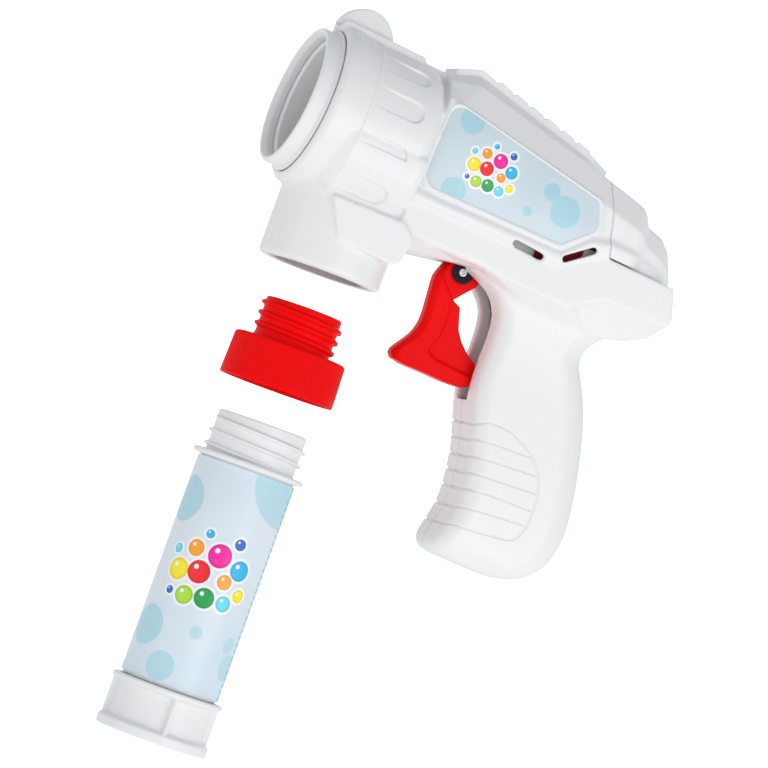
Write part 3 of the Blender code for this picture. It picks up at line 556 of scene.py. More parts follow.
def cell_paint():
    """Dry-cell wrap: pale grey sleeve with a grey-green band near one end."""
    n = Nodes("cell_wrap")
    m = n.new("ShaderNodeMapping")
    m.inputs["Rotation"].default_value = (math.radians(-12.0), 0, 0)
    n.put(n.where, m.inputs["Vector"])
    sep = n.new("ShaderNodeSeparateXYZ")
    n.put(m.outputs["Vector"], sep.inputs[0])
    band = n.ramp(sep.outputs["Z"], 0.0068, 0.0072, 0.0, 1.0)
    base = n.mix(band, (0.42, 0.44, 0.45), (0.10, 0.24, 0.22))
    base = n.mix(n.ramp(n.noise(300.0), 0.4, 0.8, 0.0, 0.25), base, (0.30, 0.31, 0.31))
    gloss = n.ramp(n.noise(200.0), 0.3, 0.7, 0.22, 0.36)
    return n.finish(base, gloss, n.bump(n.noise(1800.0), 1.5e-5, 0.5), Metallic=0.4)


CELL = cell_paint()


def printed(name, base_a, base_b, blots, discs, dashes=None, rough=0.34):
    """Printed film: pale ground, paler and darker bubbles, and a loose cluster of coloured bubbles."""
    n = Nodes(name)
    uv = n.new("ShaderNodeUVMap", uv_map="plan").outputs["UV"]

    def disc(centre, r, soft=0.12):
        d = n.new("ShaderNodeVectorMath", operation="DISTANCE")
        n.put(uv, d.inputs[0])
        d.inputs[1].default_value = (centre[0], centre[1], 0.0)
        return n.ramp(d.outputs["Value"], r - soft, r + soft, 1.0, 0.0, "SMOOTHSTEP")

    base = n.mix(n.ramp(n.noise(22.0, 2.0), 0.35, 0.65, 0.0, 1.0), base_a, base_b)
    for centre, r, colour, strength in blots:
        base = n.mix(n.maths("MULTIPLY", disc(centre, r), strength), base, colour)
    for centre, r, colour in discs:
        base = n.mix(disc(centre, r + 0.75, 0.25), base, (0.93, 0.95, 0.97))
    for centre, r, colour in discs:
        base = n.mix(disc(centre, r), base, colour)
        base = n.mix(disc(centre, r * 0.78, r * 0.12), base, tint(colour, 1.25))
        base = n.mix(disc((centre[0] - r * 0.34, centre[1] + r * 0.36), r * 0.2, r * 0.06), base, (0.95, 0.97, 0.99))
    if dashes:
        sep = n.new("ShaderNodeSeparateXYZ")
        n.put(uv, sep.inputs[0])
        off = n.maths("ABSOLUTE", n.maths("SUBTRACT", sep.outputs["X"], dashes))
        line = n.ramp(off, 0.6, 0.8, 1.0, 0.0)
        beat = n.maths("FRACT", n.maths("MULTIPLY", sep.outputs["Y"], 0.42))
        line = n.maths("MULTIPLY", line, n.ramp(beat, 0.30, 0.36, 0.0, 1.0))
        base = n.mix(line, base, srgb(70, 196, 214))
    base = n.mix(n.ramp(n.noise(500.0, 4.0), 0.5, 0.85, 0.0, 0.08), base, (0.55, 0.62, 0.68))
    gloss = n.ramp(n.noise(90.0, 3.0), 0.3, 0.7, rough * 0.85, rough * 1.15)
    skin = n.bump(n.noise(1500.0, 2.0), 1.2e-5, 0.5)
    return n.finish(base, gloss, skin, IOR=1.48)


YELLOW, ORANGE, SCARLET = srgb(240, 214, 30), srgb(243, 150, 30), srgb(226, 24, 34)
PINK, SKY, BLUE = srgb(226, 24, 150), srgb(40, 170, 220), srgb(24, 96, 190)
LIME, GREEN, AQUA = srgb(160, 204, 50), srgb(24, 150, 70), srgb(90, 200, 220)
PALE, BLOB = srgb(214, 230, 240), srgb(172, 216, 231)


def cluster(cx, cy, s, lean=0.0):
    """Loose group of soap bubbles in mixed colours, about 10 units in radius at s = 1."""
    c, d = math.cos(lean), math.sin(lean)
    rows = (
        (-7.6, 0.6, 2.5, YELLOW), (-4.0, 5.6, 1.9, ORANGE), (-2.6, 0.4, 2.6, SCARLET), (1.6, 4.4, 2.7, PINK),
        (6.6, 1.6, 2.3, SKY), (3.4, -1.2, 1.7, ORANGE), (-5.2, -5.0, 2.1, LIME), (-0.6, -5.2, 2.3, GREEN),
        (3.9, -6.0, 1.8, AQUA), (7.4, -4.0, 1.5, YELLOW), (-8.6, 5.2, 1.1, AQUA), (5.8, 7.4, 1.3, BLUE), (-1.2, 9.0, 1.0, SKY), (-8.9, -4.2, 0.9, BLUE),
    )
    return [((cx + s * (x * c - y * d), cy + s * (x * d + y * c)), r * s, col) for x, y, r, col in rows]


LABEL = printed(
    "label_film", srgb(212, 228, 238), srgb(224, 233, 242),
    [
        ((-23.5, -136.4), 8.0, BLOB, 0.85), ((14.2, -121.5), 15.0, BLOB, 0.75), ((-20.7, -180.0), 6.9, BLOB, 0.85),
        ((-2.3, -177.4), 2.2, BLOB, 0.7), ((11.9, -178.2), 3.0, BLOB, 0.6), ((15.0, -185.5), 4.6, BLOB, 0.7), ((-10.2, -191.5), 5.0, BLOB, 0.8),
        ((33.0, -150.0), 9.0, BLOB, 0.75), ((44.0, -172.0), 5.5, BLOB, 0.75), ((-44.0, -160.0), 10.0, BLOB, 0.75), ((-40.0, -185.0), 4.0, BLOB, 0.75),
        ((30.0, -188.0), 6.0, BLOB, 0.7), ((50.0, -130.0), 6.0, BLOB, 0.8), ((-38.0, -129.0), 3.4, BLOB, 0.7),
    ],
    cluster(-4.4, -158.0, 1.5, 0.2), dashes=17.8,
)
DECAL_PRINT = printed(
    "decal_film", srgb(204, 219, 228), srgb(211, 225, 233),
    [
        ((25.7, 14.6), 4.4, srgb(166, 214, 229), 0.85), ((28.7, -9.1), 4.4, srgb(166, 214, 229), 0.85), ((60.8, 4.3), 3.0, srgb(158, 211, 228), 0.8),
        ((67.7, 0.0), 5.4, srgb(166, 214, 229), 0.85), ((55.3, -5.1), 1.7, srgb(158, 211, 228), 0.8),
    ],
    cluster(39.1, 2.0, 0.94, 0.12),
)


# ---- housing ------------------------------------------------------------------
ROWS = (
    # y, top, crease x, crease z, side x, shoulder z, recess z, band x, bottom z
    (16.0, 27.3, 13.0, 25.2, 21.0, 18.4, -13.0, 22.4, -19.6),
    (26.5, 31.2, 14.0, 27.4, 21.0, 17.0, -12.9, 22.4, -19.5),
    (72.2, 21.4, 14.4, 18.9, 21.0, 9.5, -11.7, 22.4, -19.3),
    (80.0, 18.4, 14.6, 17.1, 21.0, 8.2, -3.6, 22.4, -13.4),
    (87.6, 16.9, 14.2, 15.5, 20.6, 6.4, -1.4, 22.2, -7.5),
    (96.4, 15.0, 13.2, 13.4, 19.4, 4.8, -1.4, 20.8, -7.5),
    (98.4, 13.6, 12.8, 11.8, 18.4, 3.8, -1.6, 19.6, -7.5),
    (101.2, 9.4, 11.4, 8.2, 15.8, 1.8, -2.4, 16.4, -7.5),
    (107.6, 7.7, 10.8, 6.5, 15.0, -0.2, -3.4, 15.4, -7.5),
    (111.6, 4.4, 9.6, 3.0, 13.4, -2.2, -4.6, 13.8, -7.5),
    (115.4, -4.0, 8.4, -5.0, 11.2, -5.8, -6.2, 11.4, -7.5),
)


def upper_half(y, inset=0.0):
    for a, b in zip(ROWS, ROWS[1:]):
        if y <= b[0] + 1e-6:
            break
    t = (y - a[0]) / (b[0] - a[0])
    _, top, cx, cz, sx, sz, rz, bx, zb = (p + (q - p) * t for p, q in zip(a, b))
    i = inset
    drop = 0.45 * (bx - sx) + 0.35
    span = rz - drop * 2.0 - zb
    h, k = min(3.4, 0.85 * span), min(1.0, span / 2.5) * max(0.12, min(1.0, (86.0 - y) / 8.0))
    return [
        (0.0, top - i),
        (7.4, top - i),
        (cx - 0.5 * i, cz - 0.95 * i),
        (sx - i, sz - 0.45 * i),
        (sx - i, rz + 0.2 * i),
        (bx - i, rz - drop * 2.0 + 0.2 * i),
        (bx - i, zb + h + 0.2 * i),
        (bx - 0.9 * k - i, zb + 0.4 * h + 0.25 * i),
        (bx - 2.1 * k - i, zb + 0.3 * i),
        (0.0, zb + 0.3 * i),
    ]


def upper_ring(y, inset=0.0, lift=0.0):
    half = upper_half(y, inset)
    radii = (0.0, 0.6, 2.0, 1.8, 1.0, 0.9, 1.6, 1.6, 0.3, 0.0)
    ring = half + [(-x, z) for x, z in half[-2:0:-1]]
    radii = list(radii) + list(radii[-2:0:-1])
    low = min(z for _, z in ring)
    if lift:
        ring = [(x, z - lift if z < low + 1.2 else z) for x, z in ring]
    return [(x, y, z) for x, z in round_fixed(ring, radii, 5)]


def seam_y(z):
    return SEAM_TOP[0] + (SEAM_TOP[1] - z) * SEAM_SLOPE


def before_seam(shift):
    return prism([(-60, 60), (seam_y(60) + shift, 60), (seam_y(-60) + shift, -60), (-60, -60)], -60, 60)


def after_seam(shift):
    return prism([(seam_y(60) + shift, 60), (160, 60), (160, -60), (seam_y(-60) + shift, -60)], -60, 60)


CHASSIS_INNER = (
    (16.4, -17.0), (72.0, -17.0), (86.4, -6.0), (88.2, -7.9), (114.7, -8.0), (118.8, -19.2),
    (114.4, -26.6), (106.0, -31.2), (95.0, -34.0), (70.0, -34.2), (54.5, -31.0), (49.5, -28.9), (43.3, -29.8), (30.0, -32.4), (16.4, -34.2),
)
CHASSIS_OUTER = (
    (16.4, -17.0), (72.0, -17.0), (86.4, -6.0), (88.2, -7.9), (114.3, -8.0), (118.2, -18.4),
    (117.2, -21.5), (104.0, -21.6), (93.1, -21.7), (81.5, -29.5), (54.8, -29.2), (49.5, -28.4), (43.3, -28.4), (30.0, -28.8), (16.4, -28.2),
)
CHASSIS_INNER_CAVITY = (
    (20.6, -14.0), (72.0, -14.0), (84.0, -5.0), (87.8, -10.1), (113.1, -10.2), (116.4, -19.2),
    (112.8, -25.0), (105.2, -29.2), (94.5, -31.8), (70.0, -31.8), (54.5, -28.6), (49.5, -26.8), (43.3, -27.6), (30.0, -30.2), (20.6, -31.2),
)
CHASSIS_OUTER_CAVITY = (
    (20.6, -14.0), (72.0, -14.0), (84.0, -5.0), (87.8, -10.1), (112.8, -10.2), (115.8, -17.4),
    (115.0, -19.4), (104.0, -19.5), (92.2, -19.6), (80.7, -27.4), (54.8, -27.0), (49.5, -26.2), (43.3, -26.2), (30.0, -26.6), (20.6, -26.1),
)
CHASSIS_ROUND = (0.5, 0.5, 1.0, 1.0, 0.8, 3.0, 3.0, 3.0, 6.0, 5.0, 3.0, 2.0, 2.0, 3.0, 0.5)


def chassis(inner, outer, x_in, x_out, ease=0.0):
    """Cross stations from side to side; ease rounds the two lower side edges."""
    def at(x, row, k=0.0):
        pts = round_fixed([(y, z) for y, z in row], CHASSIS_ROUND, 4)
        return [(x, y, z) for y, z in pts]

    loops = [at(-x_out, outer), at(-x_in, inner), at(x_in, inner), at(x_out, outer)]
    if ease:
        def shrunk(x, row):
            pts = round_fixed([(y, z) for y, z in row], CHASSIS_ROUND, 4)
            c = Vector((67.0, -20.0))
            out = []
            for p in pts:
                q = Vector(p)
                low = smooth01(np.array((-(q.y) - 18.0) / 4.0)).item()
                out.append((x, q.x, q.y + ease * low))
            return out
        loops[0] = at(-x_out + ease, outer)
        loops[-1] = at(x_out - ease, outer)
        loops.insert(0, shrunk(-x_out, outer))
        loops.append(shrunk(x_out, outer))
    return loft(loops)


GRIP = (
    (-30.0, 48.0, 104.4, 16.4),
    (-32.2, 54.2, 102.8, 16.2),
    (-34.4, 58.6, 101.0, 15.8),
    (-38.6, 62.4, 98.8, 15.2),
    (-43.6, 64.0, 99.2, 14.8),
    (-50.4, 64.7, 103.4, 14.5),
    (-58.0, 64.9, 107.4, 14.5),
    (-66.5, 66.0, 110.6, 14.7),
    (-75.8, 69.2, 113.4, 15.0),
    (-85.6, 72.8, 115.8, 15.3),
    (-97.0, 75.2, 117.6, 15.5),
    (-104.8, 75.5, 117.2, 15.4),
    (-111.8, 74.3, 115.0, 15.0),
    (-117.4, 73.3, 110.2, 13.8),
    (-120.4, 74.6, 104.0, 12.0),
    (-121.6, 77.4, 99.0, 9.6),
)


def grip(inset):
    chain = smooth_path([(z, yf, yr) for z, yf, yr, _ in GRIP], 4)
    width = smooth_path([(z, w, 0) for z, _, _, w in GRIP], 4)
    loops = []
    last = 99.0
    for (z, yf, yr), (_, w, _) in zip(chain, width):
        zz = z
        if inset:
            if z > -32.0:
                zz = z + 4.0 * (z + 32.0) / 2.0
            t = min(1.0, max(0.0, (-115.0 - z) / 6.6))
            zz = zz + inset * t * (2 - t)
            yf, yr, w = yf + inset + (0.35 * inset if -45 < z < -32 else 0.0), yr - inset, w - inset
        if zz > last - 0.02:
            zz = last - 0.02
        last = zz
        rf, rr = min(6.5, w - 2.5), min(11.0, w - 1.2)
        pts = rounded([(-w, yf), (w, yf), (w, yr), (-w, yr)], [rf, rf, rr, rr], 8)
        loops.append([(x, y, zz) for x, y in pts])
    return loft(loops)


def door_outline(grow=0.0):
    pts = [(72.8, -62.4), (101.2, -62.4), (109.4, -100.0), (106.0, -111.6), (80.8, -111.6), (79.6, -98.0)]
    c = Vector((sum(p[0] for p in pts) / 6, sum(p[1] for p in pts) / 6))
    out = []
    for p in rounded(pts, [2.5, 2.5, 8, 5, 2.5, 6], 6):
        d = Vector(p) - c
        out.append(tuple(c + d * (1 + grow / d.length)))
    return out


DECAL = ([(17.8, 18.0), (77.6, 8.1), (80.8, -0.8), (70.4, -10.3), (18.0, -11.0)], [4.0, 2.6, 2.6, 3.2, 5.0])
FRAME = ([(17.0, 18.9), (79.2, 8.9), (82.1, -0.9), (71.3, -12.1), (17.2, -12.6)], [3.2, 3.0, 3.2, 3.8, 3.6])


def grown(outline, by, steps=6):
    pts, radii = outline
    c = Vector((sum(p[0] for p in pts) / len(pts), sum(p[1] for p in pts) / len(pts)))
    out = []
    n = len(pts)
    for i, p in enumerate(pts):
        p = Vector(p)
        a = (p - Vector(pts[i - 1])).normalized()
        b = (Vector(pts[(i + 1) % n]) - p).normalized()
        na, nb = Vector((a.y, -a.x)), Vector((b.y, -b.x))
        if na.dot(p - c) < 0:
            na, nb = -na, -nb
        q = (na + nb).normalized()
        out.append(tuple(p + q * by / max(0.3, q.dot(na))))
    return rounded(out, [max(0.3, r + by) for r in radii], steps)


def housing():
    stations = [16.0, 21.0, 26.5] + [26.5 + 45.7 * k / 8 for k in range(1, 8)] + [72.2, 76.1, 80.0, 87.6, 96.4, 98.4, 101.2, 107.6, 111.6, 115.4]
    upper = loft([upper_ring(y) for y in stations])
    main = keep(copy(upper), before_seam(-0.01))
    low = chassis(CHASSIS_INNER, CHASSIS_OUTER, 15.5, 21.4, 0.9)
    barrel = lathe(
        [
            (0, BARREL_FRONT), (26.6, BARREL_FRONT), (27.2, BARREL_FRONT + 0.25), (28.1, BARREL_FRONT + 1.1), (28.45, BARREL_FRONT + 2.0), (28.45, -19.5), (28.35, -18.2), (28.0, -15.5),
            (27.5, -11.0), (27.45, -9.5),
            (27.4, -5.0), (27.4, 0.0), (27.4, 5.0), (27.4, 10.6), (27.1, 11.9), (26.3, 13.4), (25.2, 14.6), (20.7, BARREL_REAR), (20.7, BARREL_REAR + 1.5), (0, BARREL_REAR + 1.5),
        ],
        128,
        along_y(),
    )
    rail = prism(
        rounded(
            [(-21.4, 20.0), (-21.4, 25.4), (-23.8, 25.4), (-23.8, 27.6), (-22.8, 28.4), (7.0, 28.3), (7.6, 27.5), (14.5, 27.5), (17.5, 27.4), (17.5, 20.0)],
            [0, 0, 0.3, 0.5, 0.8, 0.3, 0.2, 0.3, 0.2, 0], 3,
        ), -6.2, 6.2
    )
    cheeks = []
    for s in (1, -1):
        cheeks.append(prism(rounded([(-23.6, 26.5), (-23.6, 29.0), (-22.4, 29.5), (6.4, 29.2), (7.2, 28.6), (7.2, 26.5)], [0, 0.5, 1.0, 0.6, 0.3, 0], 3), *sorted((s * 3.7, s * 6.2))))
    rail = join(rail, *cheeks)
    rail = cut(rail, prism([(-6.5, 26.55), (-6.5, 27.1), (5.4, 26.95), (5.4, 26.4)], 5.3, 8.0), prism([(-6.5, 26.55), (-6.5, 27.1), (5.4, 26.95), (5.4, 26.4)], -8.0, -5.3))
    half = [(0, -4), (27.3, -4), (27.0, -10), (26.0, -14.6), (24.0, -18.3), (21.7, -21.2), (20.2, -23.4), (19.9, -27.0), (0, -27.0)]
    row = half + [(-x, z) for x, z in half[-2:0:-1]]
    radii = [0, 2, 8, 7, 6, 5, 3, 0.4, 0, 0.4, 3, 5, 6, 7, 8, 2]
    row = round_fixed(row, radii, 4)

    def skirt_row(y, f, k=1.0):
        out = []
        for x, z in row:
            fit = math.sqrt(max(4.0, 27.7**2 - z * z)) - 0.4
            wide = fit + (abs(x) - fit) * f if abs(x) > fit else abs(x)
            out.append((math.copysign(wide, x) * k, y, z * (1.0 - 0.03 * (1 - f))))
        return out

    skirt = loft([skirt_row(-17.0, 0.0), skirt_row(-15.5, 0.12), skirt_row(-14.0, 0.36), skirt_row(-12.5, 0.66), skirt_row(-11.0, 0.9), skirt_row(-9.6, 1.0), skirt_row(14.0, 1.0), skirt_row(16.6, 1.0, 0.93)])
    rim = [(SOCKET_R - 1.7 * (1 - math.cos(t)), SOCKET_BOTTOM + 1.7 * (1 - math.sin(t))) for t in (math.pi / 2 * k / 6 for k in range(6, -1, -1))]
    socket = lathe([(0, SOCKET_BOTTOM)] + rim + [(SOCKET_R, -14.0), (0, -14.0)], 112, BOTTLE)
    for s in (1, -1):
        socket = cut(socket, box(*sorted((s * 19.9, s * 30.0)), -9.2, 12.0, -27.1, -10.0))
    core = [(-10.0, -18.0), (-10.0, -25.4), (-7.6, -27.8), (-1.6, -38.4), (16.4, -39.0), (20.2, -38.4), (21.0, -34.4), (22.6, -30.0), (22.6, -18.0)]
    bracket = prism(core, -19.8, 19.8)
    flat = rounded(
        [(-8.4, -27.0), (-1.9, -39.0), (-0.8, -39.8), (17.4, -40.4), (21.2, -39.4), (22.4, -34.4), (23.0, -29.4), (17.3, -25.8)],
        [0.3, 0.8, 0.8, 1.0, 1.4, 2.0, 0.6, 0.3], 4,
    )
    bracket = join(bracket, prism(flat, -22.2, 22.2))
    plates = []
    for s in (1, -1):
        plates.append(loft([[(s * x, y, z) for y, z in grown(FRAME, g)] for x, g in ((19.0, 0.0), (21.6, 0.0), (22.0, -0.35))]))
    outer = join(barrel, main, low, grip(0.0), rail, skirt, socket, bracket, *plates)

    hollow = lathe(
        [
            (0, BARREL_FRONT - 3), (25.0, BARREL_FRONT - 3), (25.0, 11.0), (19.4, 15.4), (18.8, 16.0), (18.8, BARREL_REAR + 5),
            (0, BARREL_REAR + 5),
        ],
        96,
        along_y(),
    )
    inner_upper = loft([upper_ring(y, WALL) for y in (19.5, 26.5, 72.2, 80.0, 87.6, 95.0)])
    inner_low = chassis(CHASSIS_INNER_CAVITY, CHASSIS_OUTER_CAVITY, 14.6, 19.3)
    inner_socket = cylinder(SOCKET_R - WALL, SOCKET_BOTTOM + WALL, -12.0, BOTTLE, 96)
    inner_bracket = join(prism([(-4.0, -16.0), (-4.0, -32.0), (-0.6, -37.8), (19.2, -38.4), (21.4, -29.8), (21.4, -16.0)], -17.4, 17.4), prism([(-2.6, -29.6), (-2.6, -33.0), (-0.6, -37.4), (19.2, -38.0), (21.4, -29.6)], -19.5, 19.5))
    hollow = join(hollow, inner_upper, inner_low, grip(WALL), inner_socket, inner_bracket)
    shell = cut(outer, hollow, lathe([(0, SOCKET_BOTTOM - 4), (18.4, SOCKET_BOTTOM - 4), (18.4, SOCKET_BOTTOM - 0.1), (17.6, SOCKET_BOTTOM + 0.9), (17.6, SOCKET_BOTTOM + 4), (0, SOCKET_BOTTOM + 4)], 96, BOTTLE))

    front = [(44.0, -28.9), (50.4, -28.7), (53.6, -30.4), (56.8, -33.0), (60.2, -36.4), (62.6, -40.2), (64.2, -46.0), (64.7, -54.0), (65.0, -62.0), (66.0, -69.8)]
    back = [(71.4, -69.8), (70.2, -62.0), (69.6, -54.0), (69.0, -46.0), (66.6, -38.4), (62.4, -32.0), (56.6, -27.8), (50.6, -25.6), (44.0, -25.6)]
    cheeks = [prism([(y + 0.4, z + 0.3) for y, z in front] + back, a, b) for a, b in ((SLOT_HALF, SLOT_HALF + 1.8), (-SLOT_HALF - 1.8, -SLOT_HALF))]
    lug = cylinder(4.6, -SLOT_HALF - 1.8, -SLOT_HALF, along_x(PY, PZ), 48)
    shell = join(shell, *cheeks, lug)
    shell = cut(shell, prism([(39.0, -23.4), (39.0, -38.0), (58.0, -69.6), (68.6, -69.6), (74.0, -50.0), (66.0, -23.4)], -SLOT_HALF, SLOT_HALF))
    shell = cut(shell, cylinder(1.7, -12.0, 0.0, along_x(PY, PZ), 32))
    for (y0, z0), (y1, z1) in (((56.1, -16.4), (66.0, -17.0)), ((74.2, -14.2), (82.4, -7.7))):
        d = Vector((y1 - y0, z1 - z0)).normalized() * 1.15
        n = Vector((-d.y, d.x))
        turn = [math.pi * (k / 8 - 0.5) for k in range(9)]
        arc = [Vector((y1, z1)) + d * math.cos(a) + n * math.sin(a) for a in turn] + [Vector((y0, z0)) - d * math.cos(a) - n * math.sin(a) for a in turn]
        shell = cut(shell, prism([tuple(p) for p in arc], -30, 30))
    ribs = []
    for s in (1, -1):
        ribs.append(box(*sorted((s * 12.5, s * 21.0)), 80.5, 87.5, -31.0, -24.0))
    inside = join(
        chassis(
            tuple((a, b + 0.8 if b < -21 else b) for a, b in CHASSIS_INNER),
            tuple((a, b + 0.8 if b < -21 else b) for a, b in CHASSIS_OUTER), 15.0, 20.4,
        ),
        grip(0.8),
    )
    for rib, within in zip(ribs, (copy(inside), inside)):
        shell = join(shell, keep(rib, within))
    for y, z in SCREWS:
        boss = cylinder(3.6, -17.0, 17.0, along_x(y, z), 32)
        trim = join(
            loft([upper_ring(s, 0.8) for s in (18.0, 26.5, 72.2, 80.0, 87.6)]),
            chassis(
                tuple((a, b + 0.8 if b < -21 else b) for a, b in CHASSIS_INNER),
                tuple((a, b + 0.8 if b < -21 else b) for a, b in CHASSIS_OUTER), 15.0, 20.4,
            ),
            grip(0.8),
        )
        shell = join(shell, keep(boss, trim))
    for y, z in SCREWS:
        shell = cut(shell, cylinder(2.9, -30.0, -8.0, along_x(y, z), 32), cylinder(1.5, -9.0, 9.0, along_x(y, z), 24))
    for s in (1, -1):
        front_baffle = [(s * 14.6, 53.4), (s * 20.6, 53.4), (s * 20.6, 54.4), (s * 15.6, 54.4), (s * 15.6, 65.5), (s * 14.6, 65.5)]
        rear_baffle = [(s * 15.2, 80.8), (s * 16.2, 80.8), (s * 16.2, 85.6), (s * 20.8, 85.6), (s * 20.8, 86.5), (s * 15.2, 86.5)]
        for shape, z0, z1 in ((front_baffle, -20.3, -12.6), (rear_baffle, -14.0, -7.2)):
            shell = join(shell, loft([[(x, y, z0) for x, y in shape], [(x, y, z1) for x, y in shape]]))
    for s in (1, -1):
        shell = cut(shell, prism(grown(DECAL, 0.25), *sorted((s * 21.12, s * 24.0))))

    door = keep(copy(shell), prism(door_outline(-0.3), -20.0, -5.0))
    right = cut(keep(copy(shell), box(-60, -0.02, -60, 160, -140, 60)), prism(door_outline(0.0), -20.0, -5.0))
    left = keep(shell, box(0.02, 60, -60, 160, -140, 60))

    rear = keep(upper, after_seam(0.01))
    rear_hollow = loft([upper_ring(y, WALL, 6.0) for y in (80.0, 87.5, 96.0, 98.0, 101.0, 107.0, 109.4)])
    rear = cut(rear, rear_hollow)
    return left, right, rear, door


GROOVES = (
    ((50, -77.2), (70.0, -77.0), (74.1, -74.1)),
    ((50, -83.5), (69.5, -82.8), (72.5, -81.2), (79.8, -80.0), (92.2, -79.2)),
    ((50, -89.3), (70.5, -88.3), (74.5, -86.7), (82.3, -85.5), (97.0, -84.1)),
    ((50, -94.8), (71.5, -93.8), (75.6, -92.1), (84.7, -91.0), (99.5, -89.6)),
    ((50, -100.2), (72.4, -99.4), (76.0, -97.7), (85.2, -96.3), (100.4, -95.6)),
    ((50, -106.0), (72.6, -105.3), (76.8, -103.9), (86.0, -102.4), (100.0, -101.0)),
    ((50, -112.2), (72.0, -111.5), (77.0, -110.2), (86.4, -109.3), (91.4, -108.5)),
    (
        (74.1, -74.1), (81.3, -73.9), (87.5, -75.7), (92.7, -78.6), (96.9, -82.7), (99.6, -88.8), (100.6, -94.9), (100.5, -100.8), (99.1, -105.7),
        (96.5, -107.7), (91.4, -108.5),
    ),
)


def groove_distance(co):
    p = co[:, 1:3]
    best = np.full(len(co), 1e9)
    for chain in GROOVES:
        c = [tuple(v)[:2] for v in smooth_path([(a, b, 0) for a, b in chain], 4)] if len(chain) > 3 else chain
        best = np.minimum(best, to_chain(p, c))
    return best


def outside_of_grip(co, n):
    """True on the outer skin of the grip's side and front."""
    z = co[:, 2]
    table_z = [r[0] for r in GRIP][::-1]
    w = np.interp(z, table_z, [r[3] for r in GRIP][::-1])
    yf = np.interp(z, table_z, [r[1] for r in GRIP][::-1])
    side = (np.abs(co[:, 0]) > w - 1.0) & (n[:, 0] * np.sign(co[:, 0]) > 0.2)
    fr = (co[:, 1] < yf + 7.5) & ((n[:, 1] < -0.25) | (n[:, 0] * np.sign(co[:, 0]) > 0.3))
    corner = np.hypot(np.maximum(0, np.abs(co[:, 0]) - (w - 6.5)), np.maximum(0, yf + 6.5 - co[:, 1]))
    turn = (np.abs(co[:, 0]) > w - 6.5) & (co[:, 1] < yf + 6.5)
    inner = np.where(turn, corner < 5.2, (np.abs(co[:, 0]) < w - 1.3) & (co[:, 1] > yf + 1.3))
    out = n[:, 0] * np.sign(co[:, 0]) * np.maximum(0, np.abs(co[:, 0]) - (w - 6.5)) - n[:, 1] * np.maximum(0, yf + 6.5 - co[:, 1]) > 0
    return (side | fr | (turn & out)) & ~inner & (z < -70) & (z > -116)


def carve_grip(ob, left):
    def near(co):
        flags = (co[:, 2] < -72) & (co[:, 2] > -114) & (co[:, 1] < 103) & (groove_distance(co) < reach)
        return flags & ((co[:, 0] > 6) | (co[:, 1] < 82)) if left else flags & (co[:, 1] < 80)

    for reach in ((1.3, 0.7)):
        split_near(ob, near, 1)
    co, n = read(ob), normals(ob)
    on = outside_of_grip(co, n)
    d = groove_distance(co)
    yf = np.interp(co[:, 2], [r[0] for r in GRIP][::-1], [r[1] for r in GRIP][::-1])
    depth = (0.32 + 0.45 * (1 - smooth01((co[:, 1] - yf - 1.5) / 3.5))) * (1 - smooth01((d - 0.05) / 0.5))
    if not left:
        depth = depth * (1 - smooth01((co[:, 1] - yf - 3.6) / 1.6))
    co = co - n * (depth * on)[:, None]
    write(ob, co)
    return ob


def scallop_barrel(ob):
    """Shallow flutes round the barrel, rising to a rounded end at the rear, and a fine ridge in front of them."""
    def near(co):
        rr = np.hypot(co[:, 0], co[:, 2])
        return (rr > 25.9) & (rr < 28.6) & (co[:, 1] > -11.0) & (co[:, 1] < 9.6) & (co[:, 2] > -25.5)

    split_near(ob, near, 1)
    co = read(ob)
    r = np.hypot(co[:, 0], co[:, 2])
    a = np.degrees(np.arctan2(co[:, 2], np.abs(co[:, 0])))
    y = co[:, 1]
    depth = np.zeros(len(co))
    for mid in (49.0, 18.0, -16.0):
        s = np.radians(a - mid) * 27.4
        half = 3.9
        end = 8.6 - half
        over = np.maximum(0, y - end)
        q = np.hypot(s, over)
        inside = 1 - smooth01((q - (half - 0.42)) / 0.42)
        ramp = 0.12 + 0.78 * smooth01((y + 9.0) / 15.0)
        depth = np.maximum(depth, inside * ramp * smooth01((y + 9.2) / 0.8))
    skin = (r > 26.4) & (y > -9.5) & (y < 11.0) & (np.abs(co[:, 0]) > 6.8) & (r < 28.2)
    depth = depth * skin * smooth01((co[:, 2] + 27.0) / 6.0)
    ridge = 0.3 * np.exp(-(((y + 10.0) / 0.3) ** 2)) * (r > 26.6) * (np.abs(co[:, 0]) > 6.6) * smooth01((co[:, 2] + 24.0) / 3.0)
    depth = depth - ridge
    co[:, 0] -= co[:, 0] / np.maximum(r, 1) * depth
    co[:, 2] -= co[:, 2] / np.maximum(r, 1) * depth
    write(ob, co)
    # the lowest flute lies on the skirt
    co, n = read(ob), normals(ob)
    y, z = co[:, 1], co[:, 2]
    q = np.hypot((z + 21.4) * 1.3, np.maximum(0, y - 4.7))
    inside = 1 - smooth01((q - 3.5) / 0.5)
    depth = inside * (0.12 + 0.6 * smooth01((y + 9.0) / 15.0)) * smooth01((y + 9.2) / 0.8)
    skin = (np.abs(co[:, 0]) > 19.6) & (n[:, 0] * np.sign(co[:, 0]) > 0.3) & (y < 10.0) & (z > -26.4)
    write(ob, co - n * (depth * skin)[:, None])
    return ob


def ease_creases(ob):
    """Soft hollow where the chassis turns into the grip: creases are filled, edges keep their place."""
    co = read(ob)
    x, y, z = np.abs(co[:, 0]), co[:, 1], co[:, 2]
    w = smooth01((x - 12.2) / 0.8) * smooth01((-23.0 - z) / 3.0) * smooth01((z + 46.0) / 6.0) * smooth01((y - 56.0) / 5.0)
    n = normals(ob)
    relax(ob, 26, np.clip(w, 0, 1))
    moved = read(ob) - co
    lift = np.einsum("ij,ij->i", moved, n)
    write(ob, co + moved * smooth01(lift / 0.06)[:, None])
    return ob


